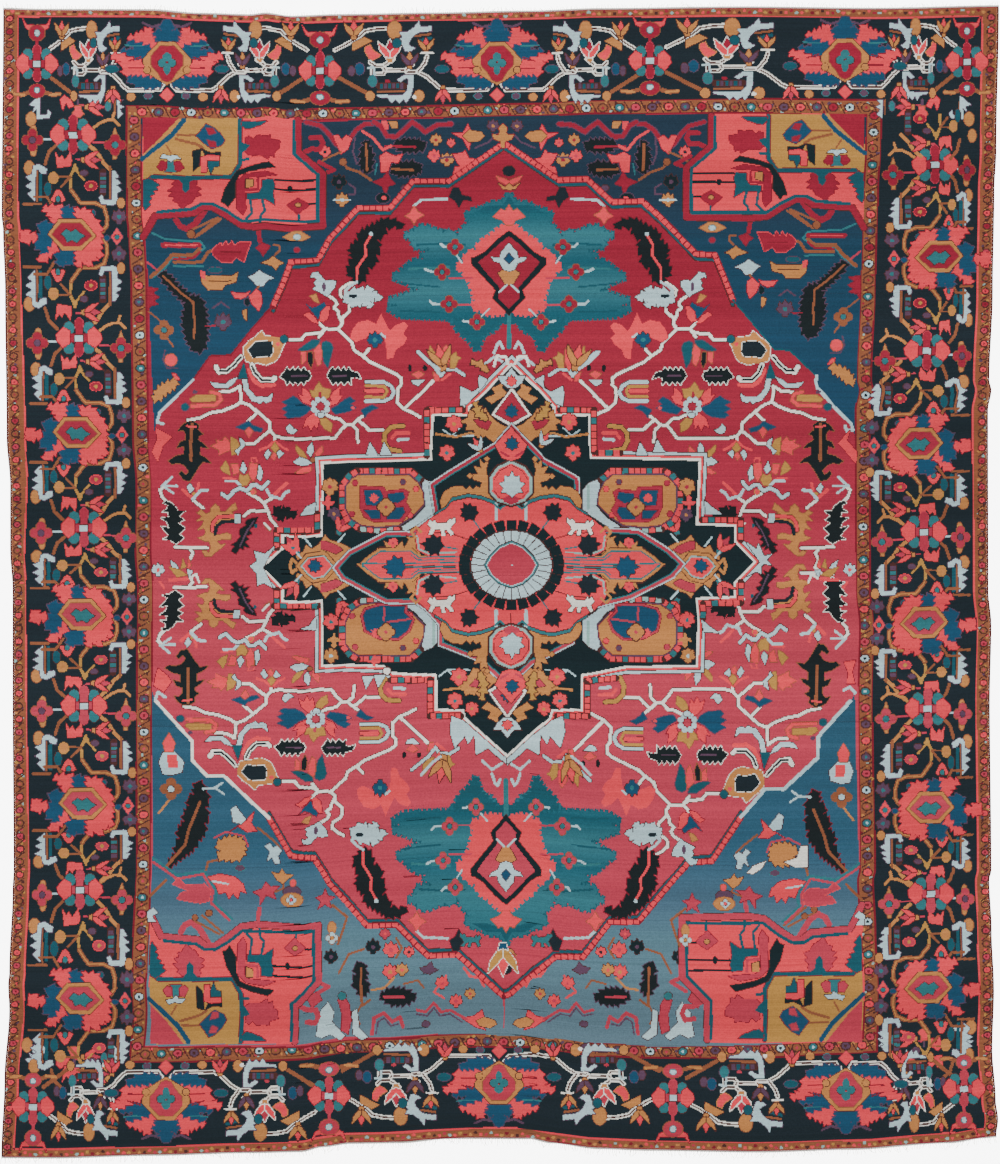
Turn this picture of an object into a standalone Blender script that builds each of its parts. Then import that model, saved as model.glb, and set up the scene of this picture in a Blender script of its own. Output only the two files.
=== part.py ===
"""A hand-knotted persian rug, lying flat: the pile rug with the uneven outline of old hand work, an
overcast cord along each side and a short warp fringe on a narrow woven strip at each end.

Metres, +Z up, +Y towards the end with the short fringe. The origin is the middle of the floor under it.
"""

import math
import random

import bmesh
import bpy
from mathutils import Vector

RUG_THICKNESS = 0.010
EDGE_ROUNDING = 0.003
FIT_GAP = 0.0003

SIDE_CORD_DIAMETER = 0.0062
END_STRIP_WIDTH = 0.0055
END_STRIP_THICKNESS = 0.0030

LOCK_PITCH = 0.0205
LOCK_WIDTH = 0.0042
LOCK_HEIGHT = 0.0024
LOCK_ROOT_DEPTH = 0.0030
LOCK_LEAN = 0.38
LOCK_SHAPE = (
    # length_share, bend_share, size
    (0.0, 0.0, 1.0),
    (0.5, 0.35, 0.9),
    (1.0, 1.0, 0.5),
)

COLUMNS = 38
ROWS = 44
FRINGE_SEED = 11

# Each edge: how far along from the middle of the rug, and how far out from its middle line.
LEFT_EDGE = (
    # along_m, out_m
    (1.719, 1.4925),
    (1.100, 1.4970),
    (1.056, 1.4928),
    (0.876, 1.4868),
    (0.438, 1.4820),
    (0.291, 1.4715),
    (0.096, 1.4715),
    (-0.024, 1.4640),
    (-0.354, 1.4640),
    (-0.864, 1.4610),
    (-0.924, 1.4640),
    (-1.173, 1.4742),
    (-1.209, 1.4775),
    (-1.284, 1.4742),
    (-1.494, 1.4886),
    (-1.725, 1.4979),
)
RIGHT_EDGE = (
    # along_m, out_m
    (1.7265, 1.4988),
    (1.296, 1.4910),
    (1.176, 1.4850),
    (0.876, 1.4805),
    (0.606, 1.4700),
    (0.576, 1.4760),
    (0.516, 1.4661),
    (-0.024, 1.4670),
    (-0.129, 1.4760),
    (-0.354, 1.4715),
    (-0.864, 1.4760),
    (-0.894, 1.4700),
    (-1.044, 1.4769),
    (-1.224, 1.4841),
    (-1.404, 1.4790),
    (-1.554, 1.4892),
    (-1.614, 1.4964),
    (-1.662, 1.4910),
)
TOP_EDGE = (
    # along_m, out_m
    (-1.4925, 1.7190),
    (-1.380, 1.7160),
    (-1.050, 1.7150),
    (-0.900, 1.7040),
    (-0.750, 1.6995),
    (-0.705, 1.7046),
    (-0.630, 1.6950),
    (-0.480, 1.7000),
    (-0.210, 1.7046),
    (0.090, 1.7106),
    (0.300, 1.7180),
    (0.720, 1.7230),
    (1.140, 1.7190),
    (1.4988, 1.7265),
)
BOTTOM_EDGE = (
    # along_m, out_m
    (-1.4979, 1.7250),
    (-1.350, 1.7260),
    (-1.050, 1.7180),
    (-0.750, 1.7100),
    (-0.600, 1.7070),
    (-0.530, 1.6920),
    (-0.450, 1.6820),
    (-0.300, 1.6800),
    (-0.150, 1.6670),
    (0.090, 1.6680),
    (0.150, 1.6800),
    (0.300, 1.6980),
    (0.450, 1.7030),
    (0.780, 1.7080),
    (1.050, 1.7000),
    (1.350, 1.6800),
    (1.455, 1.6650),
    (1.491, 1.6620),
)

# Low waves where the cloth lies a little uneven: centre, half width across, half length, and height.
RIPPLES = (
    # x_m, y_m, across_m, length_m, turn_deg, height_m
    (1.36, -1.41, 0.030, 0.200, 78.0, 0.0022),
    (-1.40, -1.20, 0.035, 0.120, -80.0, 0.0014),
    (-0.10, -1.62, 0.060, 0.300, 4.0, 0.0012),
    (1.41, 0.58, 0.040, 0.120, 82.0, 0.0012),
    (-0.72, 1.64, 0.050, 0.160, -6.0, 0.0010),
)


def clear_scene():
    for item in list(bpy.data.objects):
        bpy.data.objects.remove(item, do_unlink=True)


def new_collection(name):
    collection = bpy.data.collections.new(name)
    bpy.context.scene.collection.children.link(collection)
    return collection


def fabric(name, colour, roughness):
    material = bpy.data.materials.new(name)
    material.use_nodes = True
    shader = material.node_tree.nodes["Principled BSDF"]
    shader.inputs["Base Color"].default_value = (*colour, 1.0)
    shader.inputs["Roughness"].default_value = roughness
    shader.inputs["Metallic"].default_value = 0.0
    material.diffuse_color = (*colour, 1.0)
    return material


def reach(edge, along):
    """How far out the edge lies at this place along it: a smooth curve through the table's rows."""
    rows = sorted(edge)
    along = min(max(along, rows[0][0]), rows[-1][0])
    upper = next(i for i in range(1, len(rows)) if along <= rows[i][0])
    (start, low), (end, high) = rows[upper - 1], rows[upper]
    share = (along - start) / (end - start)
    return low + (high - low) * share * share * (3.0 - 2.0 * share)


def top_at(x):
    return Vector((x, reach(TOP_EDGE, x), 0.0))


def bottom_at(x):
    return Vector((x, -reach(BOTTOM_EDGE, x), 0.0))


def left_at(y):
    return Vector((-reach(LEFT_EDGE, y), y, 0.0))


def right_at(y):
    return Vector((reach(RIGHT_EDGE, y), y, 0.0))


TOP_LEFT = left_at(LEFT_EDGE[0][0])
TOP_RIGHT = right_at(RIGHT_EDGE[0][0])
BOTTOM_LEFT = left_at(LEFT_EDGE[-1][0])
BOTTOM_RIGHT = right_at(RIGHT_EDGE[-1][0])


def between(start, end, share):
    return start + (end - start) * share


def rug_point(across, up):
    """The place of a share across and a share up the rug, with its four uneven edges blended inwards."""
    low = bottom_at(between(BOTTOM_LEFT.x, BOTTOM_RIGHT.x, across))
    high = top_at(between(TOP_LEFT.x, TOP_RIGHT.x, across))
    left = left_at(between(BOTTOM_LEFT.y, TOP_LEFT.y, up))
    right = right_at(between(BOTTOM_RIGHT.y, TOP_RIGHT.y, up))
    corners = between(
        between(BOTTOM_LEFT, BOTTOM_RIGHT, across), between(TOP_LEFT, TOP_RIGHT, across), up
    )
    return between(low, high, up) + between(left, right, across) - corners


def ripple_height(x, y):
    """How much the low waves lift the face of the rug here."""
    height = 0.0
    for wave_x, wave_y, across, length, turn, lift in RIPPLES:
        angle = math.radians(turn)
        along = (x - wave_x) * math.cos(angle) + (y - wave_y) * math.sin(angle)
        aside = (y - wave_y) * math.cos(angle) - (x - wave_x) * math.sin(angle)
        height += lift * math.exp(-((along / length) ** 2) - (aside / across) ** 2)
    return height


def add_object(name, data, material, collection):
    item = bpy.data.objects.new(name, data)
    data.materials.append(material)
    collection.objects.link(item)
    return item


def rug_share(column, row):
    """Shares across and up of a grid point, with the sides drawn in to make room for the side cords."""
    inset = (SIDE_CORD_DIAMETER + FIT_GAP) / (TOP_RIGHT.x - TOP_LEFT.x)
    return inset + (1.0 - 2.0 * inset) * column / COLUMNS, row / ROWS


def make_rug_body(material, collection):
    """A grid warped to the outline, drawn up to the face of the pile, with its upper rim rounded."""
    shape = bmesh.new()
    bmesh.ops.create_grid(shape, x_segments=COLUMNS, y_segments=ROWS, size=0.5)
    for point in shape.verts:
        column = (point.co.x + 0.5) * COLUMNS
        row = (point.co.y + 0.5) * ROWS
        point.co = rug_point(*rug_share(column, row))
    drawn = bmesh.ops.extrude_face_region(shape, geom=list(shape.faces))
    face_points = [part for part in drawn["geom"] if isinstance(part, bmesh.types.BMVert)]
    for point in face_points:
        point.co.z = RUG_THICKNESS + ripple_height(point.co.x, point.co.y)
    under = [face for face in shape.faces if all(point.co.z == 0.0 for point in face.verts)]
    bmesh.ops.dissolve_faces(shape, faces=under)
    bmesh.ops.recalc_face_normals(shape, faces=shape.faces)
    raised = set(face_points)
    rim = [
        edge
        for edge in shape.edges
        if set(edge.verts) <= raised and any(abs(face.normal.z) < 0.5 for face in edge.link_faces)
    ]
    bmesh.ops.bevel(shape, geom=rim, offset=EDGE_ROUNDING, segments=2, profile=0.5, affect="EDGES")
    mesh = bpy.data.meshes.new("rug_body")
    shape.to_mesh(mesh)
    shape.free()
    mesh.shade_smooth()
    mesh.set_sharp_from_angle(angle=math.radians(40.0))
    return add_object("rug_body", mesh, material, collection)


def make_side_cord(name, at_side, outward, material, collection):
    """The overcast cord along one side, a tube that lies on the floor beside the pile."""
    radius = SIDE_CORD_DIAMETER / 2.0
    curve = bpy.data.curves.new(name, "CURVE")
    curve.dimensions = "3D"
    curve.bevel_depth = radius
    curve.bevel_resolution = 2
    curve.use_fill_caps = True
    line = curve.splines.new("POLY")
    line.points.add(ROWS)
    for row, point in enumerate(line.points):
        place = at_side(row / ROWS)
        point.co = (place.x - outward * radius, place.y, radius, 1.0)
    return add_object(name, curve, material, collection)


def on_end_line(at_end, column):
    """A place on the end's line, which runs straight from one grid column to the next."""
    before = min(int(column), COLUMNS - 1)
    return between(at_end(before), at_end(before + 1), column - before)


def end_station(at_end, column, outward, out):
    """A place this far out from one end of the rug, square to its line."""
    here = on_end_line(at_end, column)
    slope = on_end_line(at_end, min(column + 0.5, COLUMNS)) - on_end_line(at_end, max(column - 0.5, 0))
    normal = Vector((-slope.y, slope.x, 0.0)).normalized()
    return here + normal * out * (1.0 if normal.y * outward > 0 else -1.0)


def make_end_strip(name, at_end, outward, collection):
    """The narrow woven strip that holds the warp ends, just clear of the last row of knots."""
    inner, outer = FIT_GAP, FIT_GAP + END_STRIP_WIDTH
    columns = range(COLUMNS + 1)
    outline = [end_station(at_end, column, outward, inner) for column in columns]
    outline += [end_station(at_end, column, outward, outer) for column in reversed(columns)]
    curve = bpy.data.curves.new(name, "CURVE")
    curve.dimensions = "2D"
    curve.fill_mode = "BOTH"
    curve.extrude = END_STRIP_THICKNESS / 2.0
    line = curve.splines.new("POLY")
    line.points.add(len(outline) - 1)
    line.use_cyclic_u = True
    for point, place in zip(line.points, outline):
        point.co = (place.x, place.y, 0.0, 1.0)
    item = bpy.data.objects.new(name, curve)
    item.location.z = END_STRIP_THICKNESS / 2.0
    collection.objects.link(item)
    return item


def make_lock_profile(collection):
    """The cross-section of a lock of warp ends: flat below, so that it rests level, and narrower on top."""
    curve = bpy.data.curves.new("lock_profile", "CURVE")
    curve.dimensions = "2D"
    line = curve.splines.new("POLY")
    line.points.add(3)
    line.use_cyclic_u = True
    half = LOCK_WIDTH / 2.0
    corners = ((-half, 0.0), (half, 0.0), (half * 0.5, LOCK_HEIGHT), (-half * 0.5, LOCK_HEIGHT))
    for point, (across, up) in zip(line.points, corners):
        point.co = (across, up, 0.0, 1.0)
    item = bpy.data.objects.new("lock_profile", curve)
    item.hide_render = True
    item.display_type = "WIRE"
    collection.objects.link(item)
    return item


def make_locks(name, at_end, outward, lengths, profile, collection):
    """Every lock of one end: three points each, leaning a little its own way and thinner at its tip."""
    chance = random.Random(FRINGE_SEED + int(outward))
    curve = bpy.data.curves.new(name, "CURVE")
    curve.dimensions = "3D"
    curve.twist_mode = "Z_UP"
    curve.bevel_mode = "OBJECT"
    curve.bevel_object = profile
    curve.use_fill_caps = True
    width = at_end(COLUMNS).x - at_end(0).x
    count = int(width / LOCK_PITCH)
    for lock in range(count):
        column = (lock + 0.5 + chance.uniform(-0.22, 0.22)) / count * COLUMNS
        root = end_station(at_end, column, outward, FIT_GAP + END_STRIP_WIDTH - LOCK_ROOT_DEPTH)
        length = chance.uniform(*lengths) + LOCK_ROOT_DEPTH
        lean = chance.uniform(-LOCK_LEAN, LOCK_LEAN)
        line = curve.splines.new("POLY")
        line.points.add(2)
        for point, (share, bend, size) in zip(line.points, LOCK_SHAPE):
            along = root + Vector((lean * bend * length, outward * share * length, 0.0))
            point.co = (along.x, along.y, 0.0, 1.0)
            point.radius = size
    item = bpy.data.objects.new(name, curve)
    collection.objects.link(item)
    return item


def as_mesh(item, collection):
    """The same object as a welded mesh, so that it can be cut or joined."""
    graph = bpy.context.evaluated_depsgraph_get()
    mesh = bpy.data.meshes.new_from_object(item.evaluated_get(graph))
    shape = bmesh.new()
    shape.from_mesh(mesh)
    bmesh.ops.remove_doubles(shape, verts=shape.verts, dist=0.00001)
    bmesh.ops.recalc_face_normals(shape, faces=shape.faces)
    shape.to_mesh(mesh)
    shape.free()
    solid = bpy.data.objects.new(item.name, mesh)
    solid.matrix_world = item.matrix_world.copy()
    collection.objects.link(solid)
    bpy.data.objects.remove(item, do_unlink=True)
    return solid


def make_fringe(name, at_end, outward, lengths, material, collection, helpers):
    strip = make_end_strip(name, at_end, outward, helpers)
    profile = make_lock_profile(helpers)
    locks = make_locks(name + "_locks", at_end, outward, lengths, profile, helpers)
    bpy.context.view_layer.update()
    strip = as_mesh(strip, collection)
    strip.name = name
    strip.data.materials.clear()
    strip.data.materials.append(material)
    locks = as_mesh(locks, helpers)
    locks.hide_render = True
    locks.display_type = "WIRE"
    join = strip.modifiers.new("locks", "BOOLEAN")
    join.operation = "UNION"
    join.solver = "EXACT"
    join.object = locks
    return strip


def place_on_origin(items):
    """Moves every piece together, so that the middle of the whole rug's box is over the origin."""
    bpy.context.view_layer.update()
    graph = bpy.context.evaluated_depsgraph_get()
    corners = []
    for item in items:
        solid = item.evaluated_get(graph)
        corners += [solid.matrix_world @ Vector(corner) for corner in solid.bound_box]
    middle_x = (min(c.x for c in corners) + max(c.x for c in corners)) / 2.0
    middle_y = (min(c.y for c in corners) + max(c.y for c in corners)) / 2.0
    root = bpy.data.objects.new("rug_origin", None)
    bpy.context.scene.collection.objects.link(root)
    root.location = (-middle_x, -middle_y, 0.0)
    for item in items:
        item.parent = root


def main():
    clear_scene()
    rug = new_collection("persian_rug")
    helpers = new_collection("helpers")
    pile = fabric("pile_wool", (0.42, 0.045, 0.075), 0.95)
    binding = fabric("side_binding_wool", (0.30, 0.07, 0.06), 0.95)
    cotton = fabric("warp_cotton", (0.74, 0.69, 0.58), 0.95)

    def left_side(up):
        return rug_point(0.0, up)

    def right_side(up):
        return rug_point(1.0, up)

    def top_end(column):
        return rug_point(rug_share(column, 0)[0], 1.0)

    def bottom_end(column):
        return rug_point(rug_share(column, 0)[0], 0.0)

    items = [
        make_rug_body(pile, rug),
        make_side_cord("selvedge_left", left_side, -1.0, binding, rug),
        make_side_cord("selvedge_right", right_side, 1.0, binding, rug),
        make_fringe("fringe_top", top_end, 1.0, (0.012, 0.022), cotton, rug, helpers),
        make_fringe("fringe_bottom", bottom_end, -1.0, (0.018, 0.030), cotton, rug, helpers),
    ]
    place_on_origin(items)


main()
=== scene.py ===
"""The look of a hand-knotted persian rug around its solids: a weaver's chart is drawn in wool colours and
made into the pile, knot by knot; the warp ends and the overcast sides are threads of their own.

Chart places are in knots of 3 mm, counted from the top left of the rug, x across and y down.
"""

import math

import bpy
import numpy as np
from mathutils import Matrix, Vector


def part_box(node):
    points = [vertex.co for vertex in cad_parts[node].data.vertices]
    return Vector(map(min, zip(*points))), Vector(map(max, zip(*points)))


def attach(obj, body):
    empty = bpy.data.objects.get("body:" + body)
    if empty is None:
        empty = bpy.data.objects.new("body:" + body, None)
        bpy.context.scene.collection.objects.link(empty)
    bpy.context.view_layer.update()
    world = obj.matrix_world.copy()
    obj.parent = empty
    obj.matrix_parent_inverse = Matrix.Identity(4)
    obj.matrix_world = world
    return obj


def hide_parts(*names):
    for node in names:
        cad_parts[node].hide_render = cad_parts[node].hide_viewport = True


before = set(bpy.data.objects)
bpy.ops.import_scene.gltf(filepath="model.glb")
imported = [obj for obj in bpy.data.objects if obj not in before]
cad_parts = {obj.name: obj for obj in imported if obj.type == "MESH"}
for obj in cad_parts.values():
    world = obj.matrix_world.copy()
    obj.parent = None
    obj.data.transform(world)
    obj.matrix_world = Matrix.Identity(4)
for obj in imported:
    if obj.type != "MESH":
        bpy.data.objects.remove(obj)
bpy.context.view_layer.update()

KNOT = 0.003
CHART_COLUMNS = 1000
CHART_ROWS = 1164

# The woven rectangle: its four edges in knots, before the wool drew it uneven.
LEFT, RIGHT, TOP, BOTTOM = 6, 993, 11, 1148
MIDDLE_X = 500.0
MIDDLE_Y = 582.0
# The field inside the borders: outside it, the chart follows the nearer edge.
FIELD_LEFT, FIELD_TOP, FIELD_WIDE, FIELD_TALL = 150.0, 118.0, 710.0, 922.0

# How the edges really run. Each row: how far along from the middle, how far out from the middle, in metres.
LEFT_EDGE = (
    # along_m, out_m
    (1.719, 1.4925), (1.100, 1.4970), (1.056, 1.4928), (0.876, 1.4868), (0.438, 1.4820), (0.291, 1.4715),
    (0.096, 1.4715), (-0.024, 1.4640), (-0.354, 1.4640), (-0.864, 1.4610), (-0.924, 1.4640),
    (-1.173, 1.4742), (-1.209, 1.4775), (-1.284, 1.4742), (-1.494, 1.4886), (-1.725, 1.4979),
)
RIGHT_EDGE = (
    # along_m, out_m
    (1.7265, 1.4988), (1.296, 1.4910), (1.176, 1.4850), (0.876, 1.4805), (0.606, 1.4700), (0.576, 1.4760),
    (0.516, 1.4661), (-0.024, 1.4670), (-0.129, 1.4760), (-0.354, 1.4715), (-0.864, 1.4760),
    (-0.894, 1.4700), (-1.044, 1.4769), (-1.224, 1.4841), (-1.404, 1.4790), (-1.554, 1.4892),
    (-1.614, 1.4964), (-1.662, 1.4910),
)
TOP_EDGE = (
    # along_m, out_m
    (-1.4925, 1.7190), (-1.380, 1.7160), (-1.050, 1.7150), (-0.900, 1.7040), (-0.750, 1.6995),
    (-0.705, 1.7046), (-0.630, 1.6950), (-0.480, 1.7000), (-0.210, 1.7046), (0.090, 1.7106),
    (0.300, 1.7180), (0.720, 1.7230), (1.140, 1.7190), (1.4988, 1.7265),
)
BOTTOM_EDGE = (
    # along_m, out_m
    (-1.4979, 1.7250), (-1.350, 1.7260), (-1.050, 1.7180), (-0.750, 1.7100), (-0.600, 1.7070),
    (-0.530, 1.6920), (-0.450, 1.6820), (-0.300, 1.6800), (-0.150, 1.6670), (0.090, 1.6680),
    (0.150, 1.6800), (0.300, 1.6980), (0.450, 1.7030), (0.780, 1.7080), (1.050, 1.7000),
    (1.350, 1.6800), (1.455, 1.6650), (1.491, 1.6620),
)

# Wool colours, as dyed: red, green, blue.
WOOLS = {
    "crimson": (167, 38, 62),
    "rose": (186, 58, 78),
    "coral": (228, 66, 76),
    "rust": (138, 82, 56),
    "ochre": (178, 130, 66),
    "gold": (188, 124, 70),
    "cream": (236, 233, 222),
    "ice": (176, 203, 208),
    "teal": (48, 108, 114),
    "deep teal": (32, 80, 92),
    "blue": (34, 72, 98),
    "field blue": (30, 56, 76),
    "pendant": (46, 106, 120),
    "navy": (30, 40, 46),
    "ink": (24, 38, 42),
    "black": (27, 34, 36),
    "violet": (88, 62, 82),
    "brown": (74, 42, 40),
    "oxblood": (120, 30, 44),
    "sage": (140, 176, 170),
}
NAMES = list(WOOLS)
NUMBER = {name: index for index, name in enumerate(NAMES)}

chart = np.zeros((CHART_ROWS, CHART_COLUMNS), np.uint8)


def smooth_reach(edge, along):
    """How far out the edge lies at these places along it."""
    rows = np.array(sorted(edge))
    along = np.clip(along, rows[0, 0], rows[-1, 0])
    upper = np.clip(np.searchsorted(rows[:, 0], along), 1, len(rows) - 1)
    share = (along - rows[upper - 1, 0]) / (rows[upper, 0] - rows[upper - 1, 0])
    share = share * share * (3.0 - 2.0 * share)
    return rows[upper - 1, 1] + (rows[upper, 1] - rows[upper - 1, 1]) * share


def drift(x, y):
    """How far the uneven weaving carries a place off its chart column and row, in knots."""
    up = (MIDDLE_Y - y) * KNOT
    across = (x - MIDDLE_X) * KNOT
    at_left = MIDDLE_X - smooth_reach(LEFT_EDGE, up) / KNOT - LEFT
    at_right = MIDDLE_X + smooth_reach(RIGHT_EDGE, up) / KNOT - RIGHT
    at_top = MIDDLE_Y - smooth_reach(TOP_EDGE, across) / KNOT - TOP
    at_bottom = MIDDLE_Y + smooth_reach(BOTTOM_EDGE, across) / KNOT - BOTTOM
    share_x = np.clip((x - FIELD_LEFT) / FIELD_WIDE, 0.0, 1.0)
    share_y = np.clip((y - FIELD_TOP) / FIELD_TALL, 0.0, 1.0)
    return at_left + (at_right - at_left) * share_x, at_top + (at_bottom - at_top) * share_y


def to_chart(points):
    """Chart columns and rows of places on the rug as it lies."""
    points = np.asarray(points, float)
    shift_x, shift_y = drift(points[:, 0], points[:, 1])
    return np.stack([points[:, 0] - shift_x, points[:, 1] - shift_y], axis=1)


def to_rug(columns, rows):
    """Places on the rug as it lies, in knots, of chart columns and rows."""
    x, y = columns.astype(float), rows.astype(float)
    for _ in range(4):
        shift_x, shift_y = drift(x, y)
        x, y = columns + shift_x, rows + shift_y
    return x, y


def fill(points, wool):
    """Knots every place inside an outline."""
    corners = to_chart(points)
    ends = np.roll(corners, -1, axis=0)
    first = max(0, math.ceil(corners[:, 1].min() - 0.5))
    last = min(CHART_ROWS - 1, math.floor(corners[:, 1].max() - 0.5))
    for row in range(first, last + 1):
        level = row + 0.5
        crossed = (corners[:, 1] <= level) != (ends[:, 1] <= level)
        start, end = corners[crossed], ends[crossed]
        cuts = start[:, 0] + (level - start[:, 1]) * (end[:, 0] - start[:, 0]) / (end[:, 1] - start[:, 1])
        cuts = np.ceil(np.sort(cuts) - 0.5).astype(int).clip(0, CHART_COLUMNS)
        for low, high in zip(cuts[0::2], cuts[1::2]):
            chart[row, low:high] = NUMBER[wool]


def stroke(points, wool, width=1.6, closed=False):
    """Knots a line of this width through the points."""
    path = to_chart(points)
    ends = np.roll(path, -1, axis=0)
    if not closed:
        path, ends = path[:-1], ends[:-1]
    reach = width / 2.0
    for (ax, ay), (bx, by) in zip(path, ends):
        low_x, high_x = int(min(ax, bx) - reach), int(max(ax, bx) + reach) + 2
        low_y, high_y = int(min(ay, by) - reach), int(max(ay, by) + reach) + 2
        low_x, low_y = max(low_x, 0), max(low_y, 0)
        high_x, high_y = min(high_x, CHART_COLUMNS), min(high_y, CHART_ROWS)
        if low_x >= high_x or low_y >= high_y:
            continue
        grid_x = np.arange(low_x, high_x) + 0.5 - ax
        grid_y = (np.arange(low_y, high_y) + 0.5 - ay)[:, None]
        run_x, run_y = bx - ax, by - ay
        share = ((grid_x * run_x + grid_y * run_y) / max(run_x**2 + run_y**2, 1e-9)).clip(0.0, 1.0)
        near = (grid_x - share * run_x) ** 2 + (grid_y - share * run_y) ** 2 <= reach**2
        chart[low_y:high_y, low_x:high_x][near] = NUMBER[wool]


def shape(points, wool, rim=None, rim_width=1.3):
    """A filled outline, with a thin line of another wool round it."""
    if rim:
        stroke(points, rim, rim_width * 2.0, closed=True)
    fill(points, wool)


def oval(x, y, across, down=None, count=16):
    """Points of an oval of these half sizes."""
    down = across if down is None else down
    turns = np.arange(count) / count * math.tau
    return np.stack([x + across * np.cos(turns), y + down * np.sin(turns)], axis=1)


def disc(x, y, across, wool, rim=None, down=None):
    shape(oval(x, y, across, down), wool, rim)


def laid(points, x, y, size=1.0, turn=0.0, flip=1.0):
    """Local points turned clockwise, sized and put at a place; flip -1 mirrors them left to right first."""
    points = np.asarray(points, float) * size
    angle = math.radians(turn)
    across, down = points[:, 0] * flip, points[:, 1]
    return np.stack(
        [
            x + across * math.cos(angle) - down * math.sin(angle),
            y + across * math.sin(angle) + down * math.cos(angle),
        ],
        axis=1,
    )


def walk(path, step):
    """Places at an even step along a path, each with the direction there."""
    path = np.asarray(path, float)
    lengths = np.hypot(*np.diff(path, axis=0).T)
    total = lengths.sum()
    count = max(1, int(round(total / step)))
    ends = np.concatenate([[0.0], np.cumsum(lengths)])
    places = []
    for index in range(count):
        distance = (index + 0.5) / count * total
        leg = min(np.searchsorted(ends, distance) - 1, len(lengths) - 1)
        share = (distance - ends[leg]) / lengths[leg]
        place = path[leg] + (path[leg + 1] - path[leg]) * share
        run = (path[leg + 1] - path[leg]) / lengths[leg]
        places.append((place, run, total / count))
    return places


def ladder(path, wools, width=5.0, step=7.0, tick="oxblood"):
    """A band of blocks in turn, parted by thin ticks."""
    stroke(path, tick, width + 1.6)
    for index, (place, run, pitch) in enumerate(walk(path, step)):
        wool = wools[index % len(wools)]
        half = run * (pitch / 2.0 - 0.55)
        side = np.array([-run[1], run[0]]) * width / 2.0
        corners = [place - half - side, place + half - side, place + half + side, place - half + side]
        fill(corners, wool)


def jagged(points, depth=2.0, step=5.0):
    """An outline with small slanting teeth standing out all round it."""
    points = np.asarray(points, float)
    ends = np.roll(points, -1, axis=0)
    turning = (points[:, 0] * ends[:, 1] - ends[:, 0] * points[:, 1]).sum()
    path = []
    for start, end in zip(points, ends):
        run = end - start
        length = math.hypot(*run)
        path.append(start)
        count = int(length / step)
        out = np.array([run[1], -run[0]]) / max(length, 1e-9) * math.copysign(depth, turning)
        for tooth in range(count):
            path.append(start + run * (tooth + 0.75) / count + out)
            path.append(start + run * (tooth + 0.85) / count)
    return path


# Motifs in a small chart of their own, about one unit across, pointing up.
LILY = {
    "left": ((-0.5, -0.5), (-0.42, -0.1), (-0.2, 0.22), (0.0, 0.3), (0.0, 0.05), (-0.2, -0.2)),
    "right": ((0.5, -0.5), (0.42, -0.1), (0.2, 0.22), (0.0, 0.3), (0.0, 0.05), (0.2, -0.2)),
    "middle": ((0.0, -0.62), (0.18, -0.2), (0.12, 0.1), (-0.12, 0.1), (-0.18, -0.2)),
    "foot": ((-0.16, 0.28), (0.16, 0.28), (0.1, 0.5), (-0.1, 0.5)),
}
RAGGED = (
    (0.0, -0.56), (0.17, -0.3), (0.34, -0.42), (0.4, -0.14), (0.5, 0.02), (0.36, 0.22), (0.2, 0.24),
    (0.12, 0.46), (-0.12, 0.46), (-0.2, 0.24), (-0.36, 0.22), (-0.5, 0.02), (-0.4, -0.14),
    (-0.34, -0.42), (-0.17, -0.3),
)
TREFOIL = (
    (-0.08, 0.5), (0.08, 0.5), (0.1, 0.2), (0.4, 0.1), (0.5, -0.12), (0.22, -0.1), (0.14, -0.2),
    (0.2, -0.4), (0.0, -0.6), (-0.2, -0.4), (-0.14, -0.2), (-0.22, -0.1), (-0.5, -0.12), (-0.4, 0.1),
    (-0.1, 0.2),
)
BEAST = (
    (-0.6, -0.1), (-0.5, -0.3), (-0.38, -0.18), (-0.3, -0.3), (-0.2, -0.14), (0.25, -0.16),
    (0.4, -0.36), (0.5, -0.3), (0.62, -0.42), (0.66, -0.2), (0.48, -0.02), (0.42, 0.12), (0.6, 0.34),
    (0.44, 0.4), (0.26, 0.16), (0.14, 0.14), (0.2, 0.4), (0.04, 0.42), (-0.02, 0.14), (-0.26, 0.12),
    (-0.42, 0.4), (-0.56, 0.34), (-0.44, 0.06),
)


def lily(x, y, size, turn, outer, inner, foot, rim="brown"):
    """An opening flower of two curling outer petals, an inner one and a foot."""
    for part, wool in (("foot", foot), ("middle", inner), ("left", outer), ("right", outer)):
        shape(laid(LILY[part], x, y, size, turn), wool, rim, 0.7)


def ragged(x, y, size, wool, heart, rim=None):
    """A small toothed flower with a round heart."""
    shape(jagged(laid(RAGGED, x, y, size), size * 0.09, size * 0.2), wool, rim, 0.9)
    disc(x, y, size * 0.13, heart)


def trefoil(x, y, size, turn, wool, rim=None):
    shape(laid(TREFOIL, x, y, size, turn), wool, rim, 0.8)


def cross_flower(x, y, size, petals="crimson", heart="ice", rim="rust", turn=0.0):
    """A small flower of four round petals round a square."""
    reach = size * 0.34
    for quarter in range(4):
        angle = math.radians(90.0 * quarter + turn)
        disc(x + reach * math.cos(angle), y + reach * math.sin(angle), size * 0.23, petals, rim)
    fill(laid(((-0.15, -0.15), (0.15, -0.15), (0.15, 0.15), (-0.15, 0.15)), x, y, size, turn), petals)
    fill(laid(((-0.11, -0.11), (0.11, -0.11), (0.11, 0.11), (-0.11, 0.11)), x, y, size * 1.1, turn), heart)


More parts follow.
